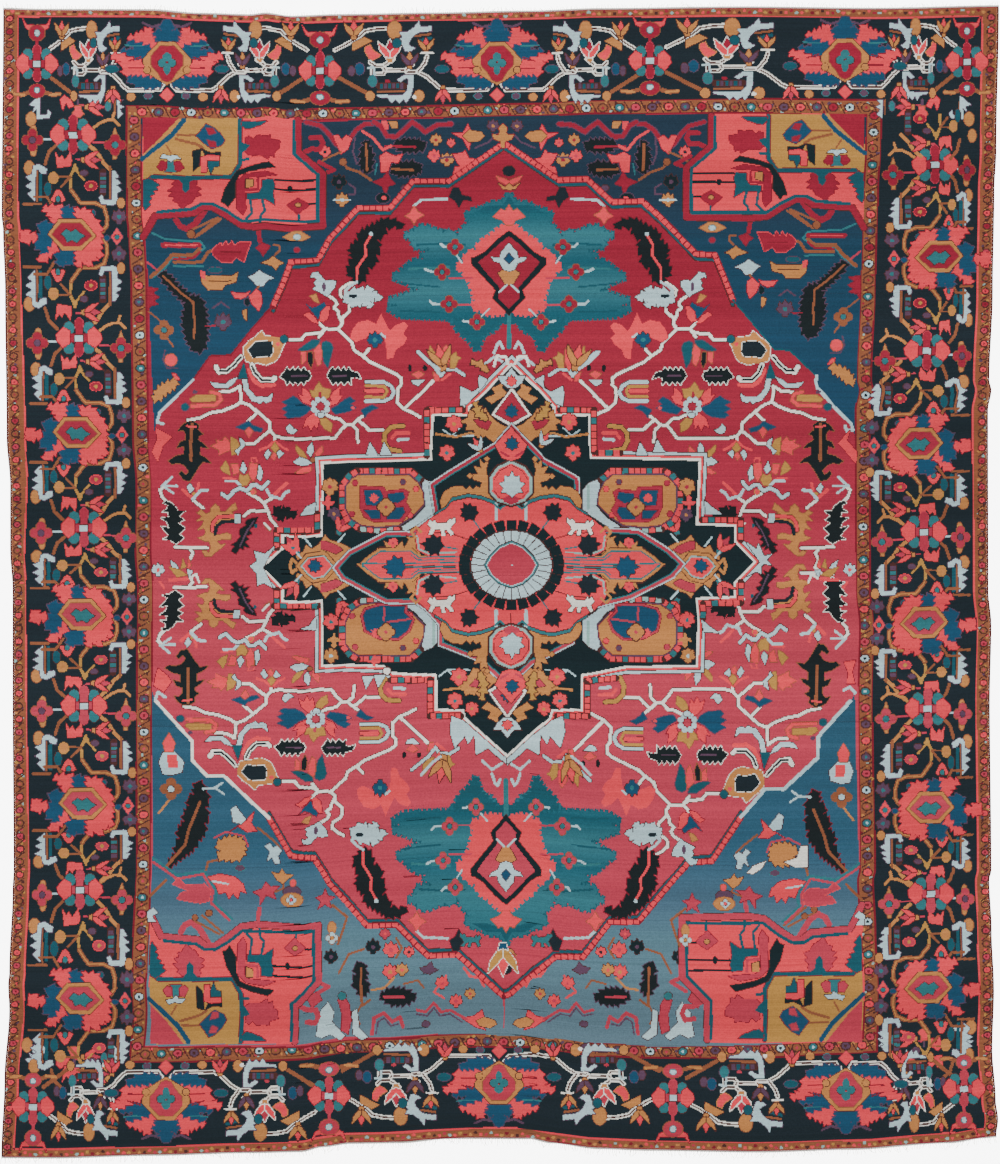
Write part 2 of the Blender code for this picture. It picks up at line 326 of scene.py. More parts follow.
def leaf(path, width, wool):
    """A small saw-edged leaf along a path, thick in its middle."""
    places = walk(path, 6.4)
    near, far = [], []
    for index, (place, run, pitch) in enumerate(places):
        share = (index + 0.5) / len(places)
        half = width * 1.12 / 2.0 * math.sin(math.pi * min(1.0, 0.12 + 0.86 * share)) ** 0.7
        out = np.array([run[1], -run[0]])
        for points, side in ((near, out), (far, -out)):
            for along, swell in ((-0.45, 0.42), (0.05, 0.57), (0.42, 1.0)):
                points.append(place + run * pitch * along + side * half * swell)
    outline = [np.asarray(path[0], float)] + near + [np.asarray(path[-1], float)] + far[::-1]
    shape(outline, wool, "brown", 1.1)


# The lines between the stripes of the border, each side read left to right or top to bottom.
OUTER_GUARD_LINE = {
    "top": (
        (17, 15.6), (60, 15.6), (200, 19), (300, 21.7), (330, 20.6), (500, 18.4), (700, 15.2), (983, 15.2),
    ),
    "right": ((983, 15.2), (980, 190), (975, 400), (975, 590), (979, 870), (980, 1000), (985, 1129.6)),
    "bottom": (
        (13, 1150), (60, 1150), (150, 1148), (300, 1143), (350, 1134.6), (450, 1129.7), (500, 1128.5),
        (550, 1134), (600, 1140), (700, 1142.6), (800, 1142.6), (900, 1138), (950, 1134), (985, 1129.6),
    ),
    "left": ((17, 15.6), (17, 215), (20, 290), (24.5, 436), (24.5, 590), (28, 870), (24, 973), (13, 1150)),
}
INNER_GUARD_LINE = {
    "top": ((126.5, 106), (330, 108.5), (500, 104), (670, 100), (882, 100)),
    "right": ((882, 100), (874.7, 300), (870, 520), (872, 700), (875, 864), (875, 920), (877, 1051.5)),
    "bottom": ((130, 1062), (330, 1055), (500, 1047), (612, 1056), (660, 1058), (877, 1051.5)),
    "left": ((126.5, 106), (131.5, 300), (136.3, 500), (136.7, 700), (136.6, 870), (134, 920), (130, 1062)),
}
FIELD_LINE = {
    "top": ((141, 118), (330, 119), (500, 116), (670, 113), (867, 115)),
    "right": ((867, 115), (860.7, 300), (856, 520), (859, 710), (860.3, 920), (863.4, 1038.5)),
    "bottom": ((144, 1047), (330, 1043), (482, 1034), (612, 1043), (660, 1047), (863.4, 1038.5)),
    "left": ((141, 118), (146.6, 300), (151, 500), (151.5, 700), (150, 870), (149.5, 920), (144, 1047)),
}


def around(line):
    """A border line as one closed outline."""
    return line["top"] + line["right"] + line["bottom"][::-1] + line["left"][::-1]


def middle_of(inner, outer, side):
    """The path midway between two border lines on one side."""
    steps = 24
    path = [(np.asarray(inner[side][0], float) + outer[side][0]) / 2.0]
    for near, far in zip(
        walk(inner[side], length_of(inner[side]) / steps), walk(outer[side], length_of(outer[side]) / steps)
    ):
        path.append((near[0] + far[0]) / 2.0)
    path.append((np.asarray(inner[side][-1], float) + outer[side][-1]) / 2.0)
    return path


def length_of(path):
    return float(np.hypot(*np.diff(np.asarray(path, float), axis=0).T).sum())


def edge_line():
    """The outer edge of the pile as a border line."""
    rows = np.linspace(TOP, BOTTOM, 40)
    columns = np.linspace(LEFT, RIGHT, 40)
    sides = {
        "top": (columns, np.full(40, float(TOP))),
        "right": (np.full(40, float(RIGHT)), rows),
        "bottom": (columns, np.full(40, float(BOTTOM))),
        "left": (np.full(40, float(LEFT)), rows),
    }
    return {side: tuple(zip(*to_rug(*places))) for side, places in sides.items()}


GUARD_FLOWERS = (
    # petals, heart
    ("coral", "crimson"),
    ("violet", "teal"),
    ("crimson", "oxblood"),
    ("ice", "navy"),
    ("rust", "crimson"),
    ("teal", "ice"),
    ("rose", "oxblood"),
    ("violet", "brown"),
)
END_BEADS = ("coral", "ochre", "oxblood", "gold", "brown", "coral", "crimson", "sage")
FLECKS = (
    "ochre", "brown", "ochre", "oxblood", "gold", "brown", "ochre", "crimson", "coral", "violet", "sage",
)


def guard(outer, inner, side, width, flowers, pitch, start):
    """A narrow stripe of small round flowers on a mottled ground with a leafy stem between them."""
    flecks = np.random.default_rng(40 + start)
    path = middle_of(inner, outer, side)
    for index, (place, run, _) in enumerate(walk(path, 2.6)):
        aside = np.array([-run[1], run[0]]) * width * 0.5 * flecks.uniform(-0.85, 0.85)
        fleck = oval(*(place + aside), flecks.uniform(0.9, 2.4), flecks.uniform(0.8, 1.9), 6)
        fill(fleck, FLECKS[(index * 3 + start) % len(FLECKS)])
    for index, (place, run, step) in enumerate(walk(path, pitch)):
        aside = np.array([-run[1], run[0]]) * width * 0.5
        between = place + run * step * 0.5
        stroke([between - aside * 0.9 - run * 3.0, between + aside * 0.9 + run * 3.0], "brown", 1.2)
        petals, heart = flowers[(index + start) % len(flowers)]
        size = width * 0.30
        disc(*place, size * 1.15, petals, "brown", size * 0.95)
        disc(*place, size * 0.4, heart)


def draw_guards():
    """The narrow stripes on both sides of the main border, and the navy between them."""
    edge = edge_line()
    fill(around(edge), "rust")
    stroke(around(edge), "oxblood", 1.6, closed=True)
    for side, start in (("left", 0), ("right", 3)):
        guard(edge, OUTER_GUARD_LINE, side, 9.0, GUARD_FLOWERS[::2] + GUARD_FLOWERS[::4], 13.0, start)
    for side, start in (("top", 0), ("bottom", 2)):
        path = middle_of(OUTER_GUARD_LINE, edge, side)
        for index, (place, _, _) in enumerate(walk(path, 5.2)):
            lift = 1.0 - 2.0 * (index * 5 % 3 == 0)
            disc(place[0], place[1] + lift, 1.9, END_BEADS[(index + start) % len(END_BEADS)], None, 1.5)
    fill(around(OUTER_GUARD_LINE), "coral")
    inset = 1.6
    ground = {
        "top": [(x, y + inset) for x, y in OUTER_GUARD_LINE["top"]],
        "right": [(x - inset, y) for x, y in OUTER_GUARD_LINE["right"]],
        "bottom": [(x, y - inset) for x, y in OUTER_GUARD_LINE["bottom"]],
        "left": [(x + inset, y) for x, y in OUTER_GUARD_LINE["left"]],
    }
    fill(around(ground), "navy")
    fill(around(INNER_GUARD_LINE), "rust")
    stroke(around(INNER_GUARD_LINE), "oxblood", 1.6, closed=True)
    for number, side in enumerate(("top", "right", "bottom", "left")):
        guard(INNER_GUARD_LINE, FIELD_LINE, side, 12.0, GUARD_FLOWERS, 16.4, 2 * number)
    fill(around(FIELD_LINE), "crimson")
    stroke(around(FIELD_LINE), "oxblood", 1.6, closed=True)


# Widths in knots that the motifs share.
VINE_WIDTH = 4.2
VINE_CORE = 1.4
THIN_RIM = 0.7
TOOTH_DEPTH = 3.4
TOOTH_STEP = 5.0


def draw_plan(rows, put):
    """Draws a motif from rows of kind, wool, second wool or width, and places; put carries them over."""
    for kind, wool, more, points in rows:
        if kind == "line":
            stroke(put(points), wool, more)
        elif kind == "edged":
            width, rim, rim_width = more
            stroke(put(points), rim, rim_width)
            stroke(put(points), wool, width)
        elif kind == "vine":
            stroke(put(points), wool, VINE_WIDTH)
            stroke(put(points), more, VINE_CORE)
        elif kind == "area":
            shape(put(points), wool, more, THIN_RIM)
        elif kind == "wing":
            shape(put(jagged(points, TOOTH_DEPTH, TOOTH_STEP)), wool, more, THIN_RIM)
        elif kind == "disc":
            shape(put(oval(*points)), wool, more, THIN_RIM)
        elif kind == "ring":
            x, y, across, count = points
            fill(put(oval(x, y, across * 1.2)), more)
            for block_x, block_y in oval(x, y, across * 0.9, None, 2 * count)[1::2]:
                fill(put(oval(block_x, block_y, 2.9)), wool)
        elif kind == "comb":
            ladder(put(points), (wool, more), 5.4, 4.4, "brown")
        elif kind == "tuft":
            x, y, size, _ = points
            shape(put(laid(RAGGED, *points)), wool, "brown", THIN_RIM)
            fill(put(oval(x, y, size * 0.14)), more)
        elif kind == "cross":
            x, y, size = points
            for across, down in ((-1, 0), (1, 0), (0, -1), (0, 1)):
                petal = oval(x + across * size * 0.32, y + down * size * 0.32, size * 0.24)
                shape(put(petal), wool, "rust", 0.6)
            fill(put(oval(x, y, size * 0.3)), wool)
            shape(put(oval(x, y, size * 0.17)), more, "brown", 0.6)
        elif kind == "lily":
            middle, rim = ("crimson", "cream") if more == "cream" else (more, "brown")
            for part, part_wool in (("foot", "gold"), ("middle", middle), ("left", wool), ("right", wool)):
                shape(put(laid(LILY[part], *points)), part_wool, rim, 0.9)


def whole(row):
    """A row whose outline reaches the middle line, joined to its own mirror image."""
    kind, wool, more, points = row
    if kind not in ("area", "wing") or max(across for across, _ in points) < 0:
        return row
    half = [(min(across, 0), down) for across, down in points if across <= 0]
    return kind, wool, more, tuple(half + [(-across, down) for across, down in half[::-1] if across])


def carried(x, y, across, down):
    """A put for draw_plan: local places moved to x, y and scaled, by less than 0 to mirror them."""
    def put(points):
        points = np.asarray(points, float)
        return np.stack([x + points[:, 0] * across, y + points[:, 1] * down], axis=1)
    return put


def narrowed(x, y, across, down, room):
    """As carried, with the side away from the field drawn in by room."""
    put = carried(x, y, across, down)

    def put_narrow(points):
        points = np.array(points, float)
        points[:, 0] = np.where(points[:, 0] < 0, points[:, 0] * room, points[:, 0])
        return put(points)
    return put_narrow


# Motifs of the border, each from its own middle: x toward the field in the side borders, y down the picture.
ROSETTE = (
    ("disc", "teal", "brown", (-10, -10, 5.5, 6.5)), ("disc", "teal", "brown", (10, -10, 5.5, 6.5)),
    ("disc", "teal", "brown", (-10, 10, 5.5, 6)), ("disc", "teal", "brown", (10, 10, 5.5, 6)),
    ("disc", "crimson", "rose", (0, -14, 4.2, 6)), ("disc", "crimson", "rose", (0, 12, 4.2, 6.5)),
    ("area", "crimson", "oxblood", ((-11, -4), (11, -4), (11, 3.5), (-11, 3.5))),
    ("area", "crimson", None, ((-3.6, -16), (3.6, -16), (3.6, 15), (-3.6, 15))),
    ("area", "coral", "oxblood", ((-23, -3), (-16, -11), (-9, -7), (-9, 5), (-16, 10), (-22, 3))),
    ("area", "coral", "oxblood", ((9, -7), (15, -11), (22, -4), (23, 2), (16, 10), (9, 5))),
    ("area", "ice", "brown", ((-4, -3), (4, -3), (4, 3), (-4, 3))),
)
SIDE_SPRAY = (
    ("line", "ice", 2.0, ((-17, 4), (-37, 4))), ("disc", "gold", "rust", (-42, -5, 3, 4.5)),
    ("disc", "gold", "rust", (-42, 16, 3, 5)), ("cross", "crimson", "violet", (-43, 5, 20)),
    ("line", "rose", 1.8, ((20, 7), (34, 8))),
    ("line", "gold", 2.8, ((20, -7), (27, -12), (34, -15), (41, -15), (46, -10))),
    ("line", "gold", 2.6, ((39, -15), (41, -22))),
    ("area", "gold", "rust", ((39, 2), (42, -7), (45, 3), (43, 24), (40, 24))),
    ("cross", "crimson", "teal", (42, 10, 19)),
)
SIDE_UNIT = (
    ("line", "rust", 3.2, ((-16, -91), (-25, -83), (-29, -71))),
    ("line", "gold", 3.6, ((18, -89), (25, -83), (31, -73), (38, -66))),
    ("line", "rust", 2.0, ((-38, -65), (-38, -34))), ("line", "deep teal", 3.6, ((-34, -60), (-34, -36))),
    ("disc", "gold", "rust", (-46, -67, 5.5, 7)),
    ("area", "ice", "violet", ((-42, -69), (-36, -71), (-27, -66), (-28, -61), (-34, -62), (-36, -66),
        (-39, -65), (-40, -34), (-48, -41), (-43, -45), (-50, -49), (-43, -53), (-50, -58), (-43, -61))),
    ("line", "rust", 2.6, ((-52, -31), (-34, -31))), ("disc", "deep teal", "brown", (-26, -46, 4, 7)),
    ("area", "coral", "brown", ((-18, -83), (-14, -77), (-11, -80), (-8, -75), (-4, -80), (-2, -83),
        (0, -75), (-1, -69), (-16, -67))),
    ("line", "rose", 1.8, ((4, -76), (12, -75))), ("lily", "coral", "rose", (18, -75, 18, 90)),
    ("line", "ochre", 2.8, ((3, -70), (2, -66), (-2, -58), (-1, -45))),
    ("disc", "ochre", None, (3, -66, 3, 3)), ("line", "ochre", 2.2, ((3, -66), (12, -55))),
    ("line", "rust", 2.4, ((-2, -58), (-12, -48))), ("line", "rust", 1.8, ((-15, -58), (-4, -58))),
    ("disc", "gold", "ochre", (-20, -57, 5, 5.5)), ("disc", "violet", "brown", (12, -62, 4, 3)),
    ("disc", "deep teal", "violet", (4, -20, 5, 3)),
    ("vine", "rust", "gold", ((-1, -45), (7, -34), (9, -32), (23, -32), (32, -28), (35, -18), (35, -10),
        (31, -4))),
    ("line", "rust", 2.6, ((-19, -26), (-27, -38), (-41, -38))),
    ("area", "coral", "brown", ((-23, -35), (-18, -44), (-15, -46), (-12, -44), (-7, -35), (-11, -33),
        (-15, -40), (-19, -33))),
    ("disc", "teal", "brown", (-15, -36, 2.5, 3)), ("disc", "crimson", "coral", (19, -49, 6, 4.5)),
    ("disc", "ochre", None, (19, -49, 2, 2)), ("line", "rust", 2.6, ((38, -68), (38, -37))),
    ("comb", "violet", "teal", ((31, -63), (31, -42))),
    ("area", "ice", "violet", ((40, -64), (43, -64), (47, -58), (43, -57), (49, -52), (44, -50), (50, -45),
        (45, -42), (46, -32), (41, -30), (29, -31), (27, -38), (30, -40), (32, -35), (40, -35))),
    ("disc", "gold", "brown", (49, -32, 4, 5.5)), ("tuft", "violet", "teal", (47, -18, 15, 0)),
    ("disc", "deep teal", "violet", (20, -22, 3.5, 3)),
)
SIDE_PALMETTE = (
    ("wing", "coral", "oxblood", ((-29, -27), (-24, -28), (-17, -29), (-8, -27), (-9, -16), (-13, -14),
        (-18, -10), (-20, -13), (-20, -18), (-25, -23))),
    ("wing", "blue", "violet", ((-8, -28), (4, -25), (4, -16), (-8, -16))),
    ("wing", "blue", "violet", ((-16, 15), (-9, 14), (4, 16), (4, 25), (0, 24), (-2, 30), (-6, 26),
        (-12, 31), (-15, 24))),
    ("wing", "coral", "oxblood", ((5, -28), (8, -25), (15, -25), (19, -22), (21, -20), (23, -16),
        (27, -11), (29, -2), (28, 15), (29, 23), (25, 20), (23, 26), (19, 25), (17, 32), (15, 26),
        (10, 27), (6, 32), (5, 26), (5, 16), (9, 14), (23, 1), (9, -15), (4, -18))),
    ("wing", "coral", "oxblood", ((-20, 6), (-15, 12), (-16, 17), (-20, 19), (-24, 22), (-28, 27),
        (-32, 27), (-33, 22), (-27, 18), (-25, 12))),
    ("wing", "blue", "violet", ((-32, -12), (-23, -12), (-20, -8), (-23, -2), (-20, 5), (-25, 12),
        (-27, 18), (-31, 15), (-37, 11), (-33, 4), (-31, -2), (-33, -5))),
    ("wing", "coral", "oxblood", ((-52, 2), (-47, -5), (-42, -1), (-35, 0), (-35, 4), (-41, 5), (-46, 8))),
    ("area", "gold", "brown", ((-24, -1), (-13, -16), (10, -16), (24, 1), (10, 15), (-10, 15))),
    ("area", "crimson", "rust", ((-20, -1), (-11, -12), (8, -12), (20, 1), (8, 11), (-8, 11))),
    ("area", "teal", "brown", ((-11, -1), (-6, -6), (-1, -3), (4, -6), (8, -2), (13, 1), (8, 4), (5, 8),
        (0, 5), (-5, 7), (-7, 2))),
    ("area", "coral", "violet", ((45, -7), (51, 2), (45, 10), (39, 2))),
    ("disc", "teal", "oxblood", (45, 2, 2.4, 2.4)), ("disc", "blue", "violet", (35, 3, 3, 2.5)),
)
# In the end borders y is away from the field; each row is drawn on both sides.
END_PALMETTE = (
    ("wing", "coral", "oxblood", ((-40, 24), (-33, 27), (-23, 31), (-19, 35), (-15, 32), (-12, 27),
        (-8, 24), (-8, 21), (-15, 15), (-24, 17), (-31, 21))),
    ("wing", "blue", "violet", ((-40, 21), (-31, 20), (-24, 17), (-16, 15), (-22, 6), (-28, 1), (-33, 6),
        (-40, 8), (-47, 12), (-40, 13), (-32, 13))),
    ("wing", "coral", "oxblood", ((-56, 7), (-49, 9), (-40, 6), (-33, 2), (-24, 0), (-22, -10), (-14, -13),
        (-20, -18), (-24, -14), (-40, -14), (-42, -12), (-44, -6), (-45, -3), (-46, 2))),
    ("wing", "blue", "violet", ((-40, -15), (-24, -15), (-16, -16), (-9, -16), (-5, -20), (-10, -24),
        (-24, -24), (-33, -21))),
    ("line", "violet", 2.4, ((-8, 38), (-15, 36), (-24, 40))),
    ("line", "teal", 1.4, ((-24, 17), (-33, 17), (-42, 18))),
    ("wing", "blue", "violet", ((0, 44), (-4, 43), (-6, 39), (-5, 32), (-12, 32), (-8, 21), (0, 21))),
    ("area", "gold", "brown", ((0, 21), (-8, 21), (-24, 4), (-24, 0), (-18, -11), (-5, -19), (0, -22))),
    ("disc", "gold", "brown", (-20, -7, 3.5, 3.5)),
    ("area", "crimson", "rust", ((0, 17), (-7, 17), (-16, 7), (-16, -2), (-9, -10), (-5, -17), (0, -19))),
    ("area", "coral", "crimson", ((0, -25), (-7, -32), (0, -39))), ("disc", "teal", "brown", (-5, 0, 4, 4)),
    ("disc", "teal", None, (0, 6, 4.5, 4.5)), ("disc", "teal", None, (0, -6, 3.4, 6)),
    ("disc", "violet", "teal", (-19, -33, 4, 3)), ("disc", "gold", "brown", (-36, -34, 4.5, 4)),
    ("disc", "deep teal", "violet", (-55, -6, 7, 4)), ("lily", "coral", "rose", (-54, -31, 16, 0)),
    ("line", "oxblood", 1.2, ((-24, -5), (-38, -5))), ("line", "oxblood", 1.2, ((-26, 6), (-38, 2))),
)
# y here is toward the field again.
END_UNIT = (
    ("vine", "cream", "brown", ((5, 22), (9, 27), (45, 27), (50, 24), (53, 21), (60, 14), (68, 9), (77, 9),
        (79, 7), (95, 7), (98, 11), (107, 11), (107, 5))),
    ("vine", "cream", "brown", ((68, 9), (62, 0), (60, -7))), ("vine", "cream", "rust", ((78, 7), (72, 1))),
    ("vine", "cream", "brown", ((96, 7), (98, 3), (89, -4))),
    ("vine", "cream", "brown", ((98, 3), (105, 3), (109, -1))),
    ("vine", "cream", "brown", ((92, -35), (104, -34), (113, -32), (120, -25), (129, -19), (139, -13))),
    ("disc", "gold", "rust", (88, -33, 6, 9)), ("lily", "gold", "coral", (123, -32, 17, 0)),
    ("area", "gold", "brown", ((107, -22), (114, -26), (124, -20), (124, -12))),
    ("line", "rust", 2.2, ((57, -29), (70, -27))), ("line", "deep teal", 3.4, ((57, -25), (67, -22))),
    ("area", "ice", "violet", ((56, -37), (66, -36), (67, -42), (71, -36), (77, -31), (84, -31), (81, -26),
        (85, -23), (81, -18), (79, -12), (75, -11), (70, -15), (73, -16), (76, -19), (74, -24), (70, -29),
        (66, -31), (56, -32))),
    ("lily", "gold", "coral", (61, -17, 14, 0)), ("line", "cream", 1.8, ((55, -10), (65, -10))),
    ("line", "rust", 2.4, ((80, 28), (102, 29))), ("comb", "violet", "deep teal", ((80, 23), (101, 23))),
    ("area", "ice", "violet", ((72, 12), (80, 12), (86, 17), (83, 19), (78, 15), (76, 16), (77, 27),
        (81, 32), (103, 32), (102, 34), (94, 35), (90, 40), (87, 36), (84, 40), (80, 36), (78, 40),
        (74, 33), (72, 24))),
    ("lily", "violet", "gold", (75, -2, 15, 0)), ("lily", "coral", "cream", (92, -11, 20, 0)),
    ("area", "coral", "gold", ((100, -8), (103, -10), (107, -13), (109, -18), (113, -16), (113, -11),
        (110, -5), (107, -3), (103, -5))),
    ("disc", "blue", "violet", (118, 6, 4, 6)), ("disc", "teal", "violet", (107, 18, 4, 6)),
    ("line", "ice", 2.2, ((105, 12), (106, 4), (111, 5))), ("disc", "crimson", None, (94, 18, 2.4, 1.6)),
    ("line", "rust", 4.0, ((140, 12), (126, 21), (112, 30), (109, 36))),
    ("disc", "gold", "brown", (109, 33, 4, 5)), ("disc", "gold", "brown", (67, 33, 4.5, 6)),
    ("disc", "cream", None, (71, 34, 2, 2)), ("disc", "violet", "brown", (125, 8, 3, 5)),
    ("disc", "deep teal", "brown", (86, -20, 4, 5)),
)
END_SPRAY = (
    ("area", "coral", "oxblood", ((-18, -46), (-13, -39), (-4, -39), (-8, -33), (-14, -36))),
    ("area", "coral", "oxblood", ((17, -46), (12, -39), (4, -39), (8, -33), (14, -36))),
    ("disc", "crimson", "rust", (0, -31, 10, 8)), ("disc", "ice", "teal", (0, -31, 3, 3)),
    ("line", "crimson", 3.0, ((0, -24), (0, -18))),
    ("line", "rust", 4.2, ((-12, 29), (-20, 31), (-28, 30))), ("line", "gold", 2.6, ((-16, 31), (-28, 30))),
    ("line", "rust", 4.2, ((12, 29), (20, 31), (28, 30))), ("line", "gold", 2.6, ((16, 31), (28, 30))),
    ("disc", "crimson", "rust", (0, 27, 10, 7)), ("disc", "ice", "teal", (0, 26, 3.2, 2.6)),
)
# The corner squares of the main border: u in from the side, v in from the end.
CORNER_FILL = (
    ("area", "coral", "oxblood", ((45, 92), (43, 84), (47, 79), (54, 84), (57, 90), (52, 92), (49, 86),
        (46, 94))),
    ("line", "violet", 2.6, ((61, 84), (61, 95))), ("line", "rose", 1.8, ((63, 89), (72, 89))),
    ("lily", "coral", "rose", (77, 91, 18, 90)),
    ("area", "coral", "rust", ((55, 98), (58, 94), (58, 90), (64, 90), (64, 94), (67, 98), (63, 101),
        (58, 101))),
    ("line", "rust", 2.0, ((23, 86), (23, 100))),
    ("area", "ice", "violet", ((12, 89), (20, 82), (23, 80), (23, 99), (30, 99), (31, 94), (34, 97),
        (32, 102), (20, 103), (20, 92), (16, 96), (18, 90))),
    ("line", "rust", 1.8, ((98, 84), (98, 98))),
    ("area", "ice", "violet", ((100, 84), (106, 84), (102, 88), (107, 91), (102, 93), (106, 98),
        (101, 102))),
    ("disc", "gold", "rust", (14, 103, 5, 7)), ("disc", "teal", "violet", (91, 90, 3, 5)),
)


TOP_PALMETTES = ((167, 63), (497, 63), (845, 60))
TOP_ROSETTES = ((37, 64), (320, 71), (650, 61), (967, 62))
BOTTOM_PALMETTES = ((166, 1099), (499, 1083), (846, 1090))
BOTTOM_ROSETTES = ((33, 1107), (329, 1096), (673, 1098), (964, 1089))
LEFT_PALMETTES = ((72, 235), (77, 433), (82, 615), (83, 804), (80, 999))
LEFT_ROSETTES = ((73, 135), (79, 338), (84, 528), (84, 706), (80, 890))
RIGHT_PALMETTES = ((939, 257), (919, 444), (924, 623), (930, 808), (928, 988))
RIGHT_ROSETTES = ((935, 165), (927, 351), (924, 532), (928, 709), (931, 894))
# From a palmette to its rosette, as SIDE_UNIT and END_UNIT are drawn.
UNIT_LENGTH = 100.0
END_UNIT_LENGTH = 152.0


def draw_end_border(palmettes, rosettes, out):
    """The main border along one end; out is 1 where the end lies below."""
    for (x, y), before, after in zip(palmettes, rosettes[:-1], rosettes[1:]):
        for side, reach in ((1.0, after[0] - x), (-1.0, x - before[0])):
            draw_plan(END_UNIT, carried(x, y, side * reach / END_UNIT_LENGTH, -out))
    for x, y in palmettes:
        draw_halves(END_PALMETTE, x, y, 1.0, out)
    for index, (x, y) in enumerate(rosettes):
        draw_plan(END_SPRAY, carried(x, y, 0.8 if index in (0, len(rosettes) - 1) else 1.0, -out))
        draw_plan(ROSETTE, carried(x, y, 0.92, 0.95))


def draw_side_border(palmettes, rosettes, inward):
    """The main border along one side; inward is 1 where the field lies to the right."""
    edge = OUTER_GUARD_LINE["left" if inward > 0 else "right"]
    line = np.array(sorted(edge, key=lambda place: place[1]), float)

    def room(x, y, reach):
        return min(1.0, (abs(x - np.interp(y, line[:, 1], line[:, 0])) - 6.0) / reach)

    for index, (x, y) in enumerate(palmettes):
        above = y - rosettes[index][1]
        below = rosettes[index + 1][1] - y if index + 1 < len(rosettes) else UNIT_LENGTH
        for down in (above, -below):
            draw_plan(SIDE_UNIT, narrowed(x, y, inward, down / UNIT_LENGTH, room(x, y, 52.0)))
    for x, y in palmettes:
        draw_plan(SIDE_PALMETTE, carried(x, y, inward, 1.0))
    for x, y in rosettes:
        draw_plan(SIDE_SPRAY, narrowed(x, y, inward, 1.0, room(x, y, 53.0)))
        draw_plan(ROSETTE, carried(x, y, 1.0, 1.0))


def far_end(row):
    """Whether a row of SIDE_UNIT lies wholly in the half next to the rosette."""
    places = row[3]
    lowest = places[1] if isinstance(places[0], (int, float)) else max(down for _, down in places)
    return lowest < -38


# Where the border's corners lie and which way they face: x, y, across, down.
BORDER_CORNERS = ((17, 16, 1.0, 1.0), (983, 16, -1.0, 1.0), (13, 1148, 1.0, -1.0), (985, 1130, -1.0, -1.0))


def draw_main_border():
    """The wide navy border; half a unit fills the gap above the uppermost rosette on the right."""
    for corner in BORDER_CORNERS:
        draw_plan(CORNER_FILL, carried(*corner))
    draw_side_border(LEFT_PALMETTES, LEFT_ROSETTES, 1.0)
    draw_side_border(RIGHT_PALMETTES, RIGHT_ROSETTES, -1.0)
    draw_plan([row for row in SIDE_UNIT if far_end(row)], narrowed(939, 72, -1.0, -0.95, 0.72))
    draw_end_border(TOP_PALMETTES, TOP_ROSETTES, -1.0)
    draw_end_border(BOTTOM_PALMETTES, BOTTOM_ROSETTES, 1.0)


# The red field's own outline, from its upper tip round by the left, and the same by the right.
UPPER_LEFT_STEPS = (
    (504, 143), (449, 181), (413, 181), (390, 208), (358, 208), (330, 238), (318, 260), (291, 262),
    (284, 281), (273, 306), (251, 330), (231, 355), (210, 356), (193, 380), (160, 412), (154, 432),
)
UPPER_RIGHT_STEPS = (
    (504, 143), (559, 180), (587, 179), (612, 202), (642, 201), (660, 217), (696, 254), (715, 255),
    (733, 300), (774, 349), (790, 350.5), (816.5, 376), (817, 388), (851, 423.5), (855, 436),
)
LOWER_LEFT_STEPS = (
    (503, 996), (458, 955), (428, 956), (397, 925), (367, 926), (330, 884), (314, 858), (291, 856),
    (269, 818), (224, 776), (207, 776), (192, 760), (192, 741), (155, 700), (152, 690),
)
LOWER_RIGHT_STEPS = (
    (505, 996), (510, 994), (555, 957), (583, 957), (610, 922), (638, 922), (670, 884), (688, 863),
    (712, 861), (741, 817), (765, 789), (784, 789), (818, 757.5), (818, 737), (850.5, 701), (855, 693),
)


def draw_corner_grounds():
    fill(UPPER_LEFT_STEPS + ((141, 118), (504, 116)), "field blue")
    fill(UPPER_RIGHT_STEPS + ((866, 117), (504, 116)), "field blue")
    fill(LOWER_LEFT_STEPS + ((145, 1046), (482, 1034), (503, 1036)), "field blue")
    fill(LOWER_RIGHT_STEPS + ((862.5, 1038), (660, 1047), (612, 1043), (503, 1036)), "field blue")


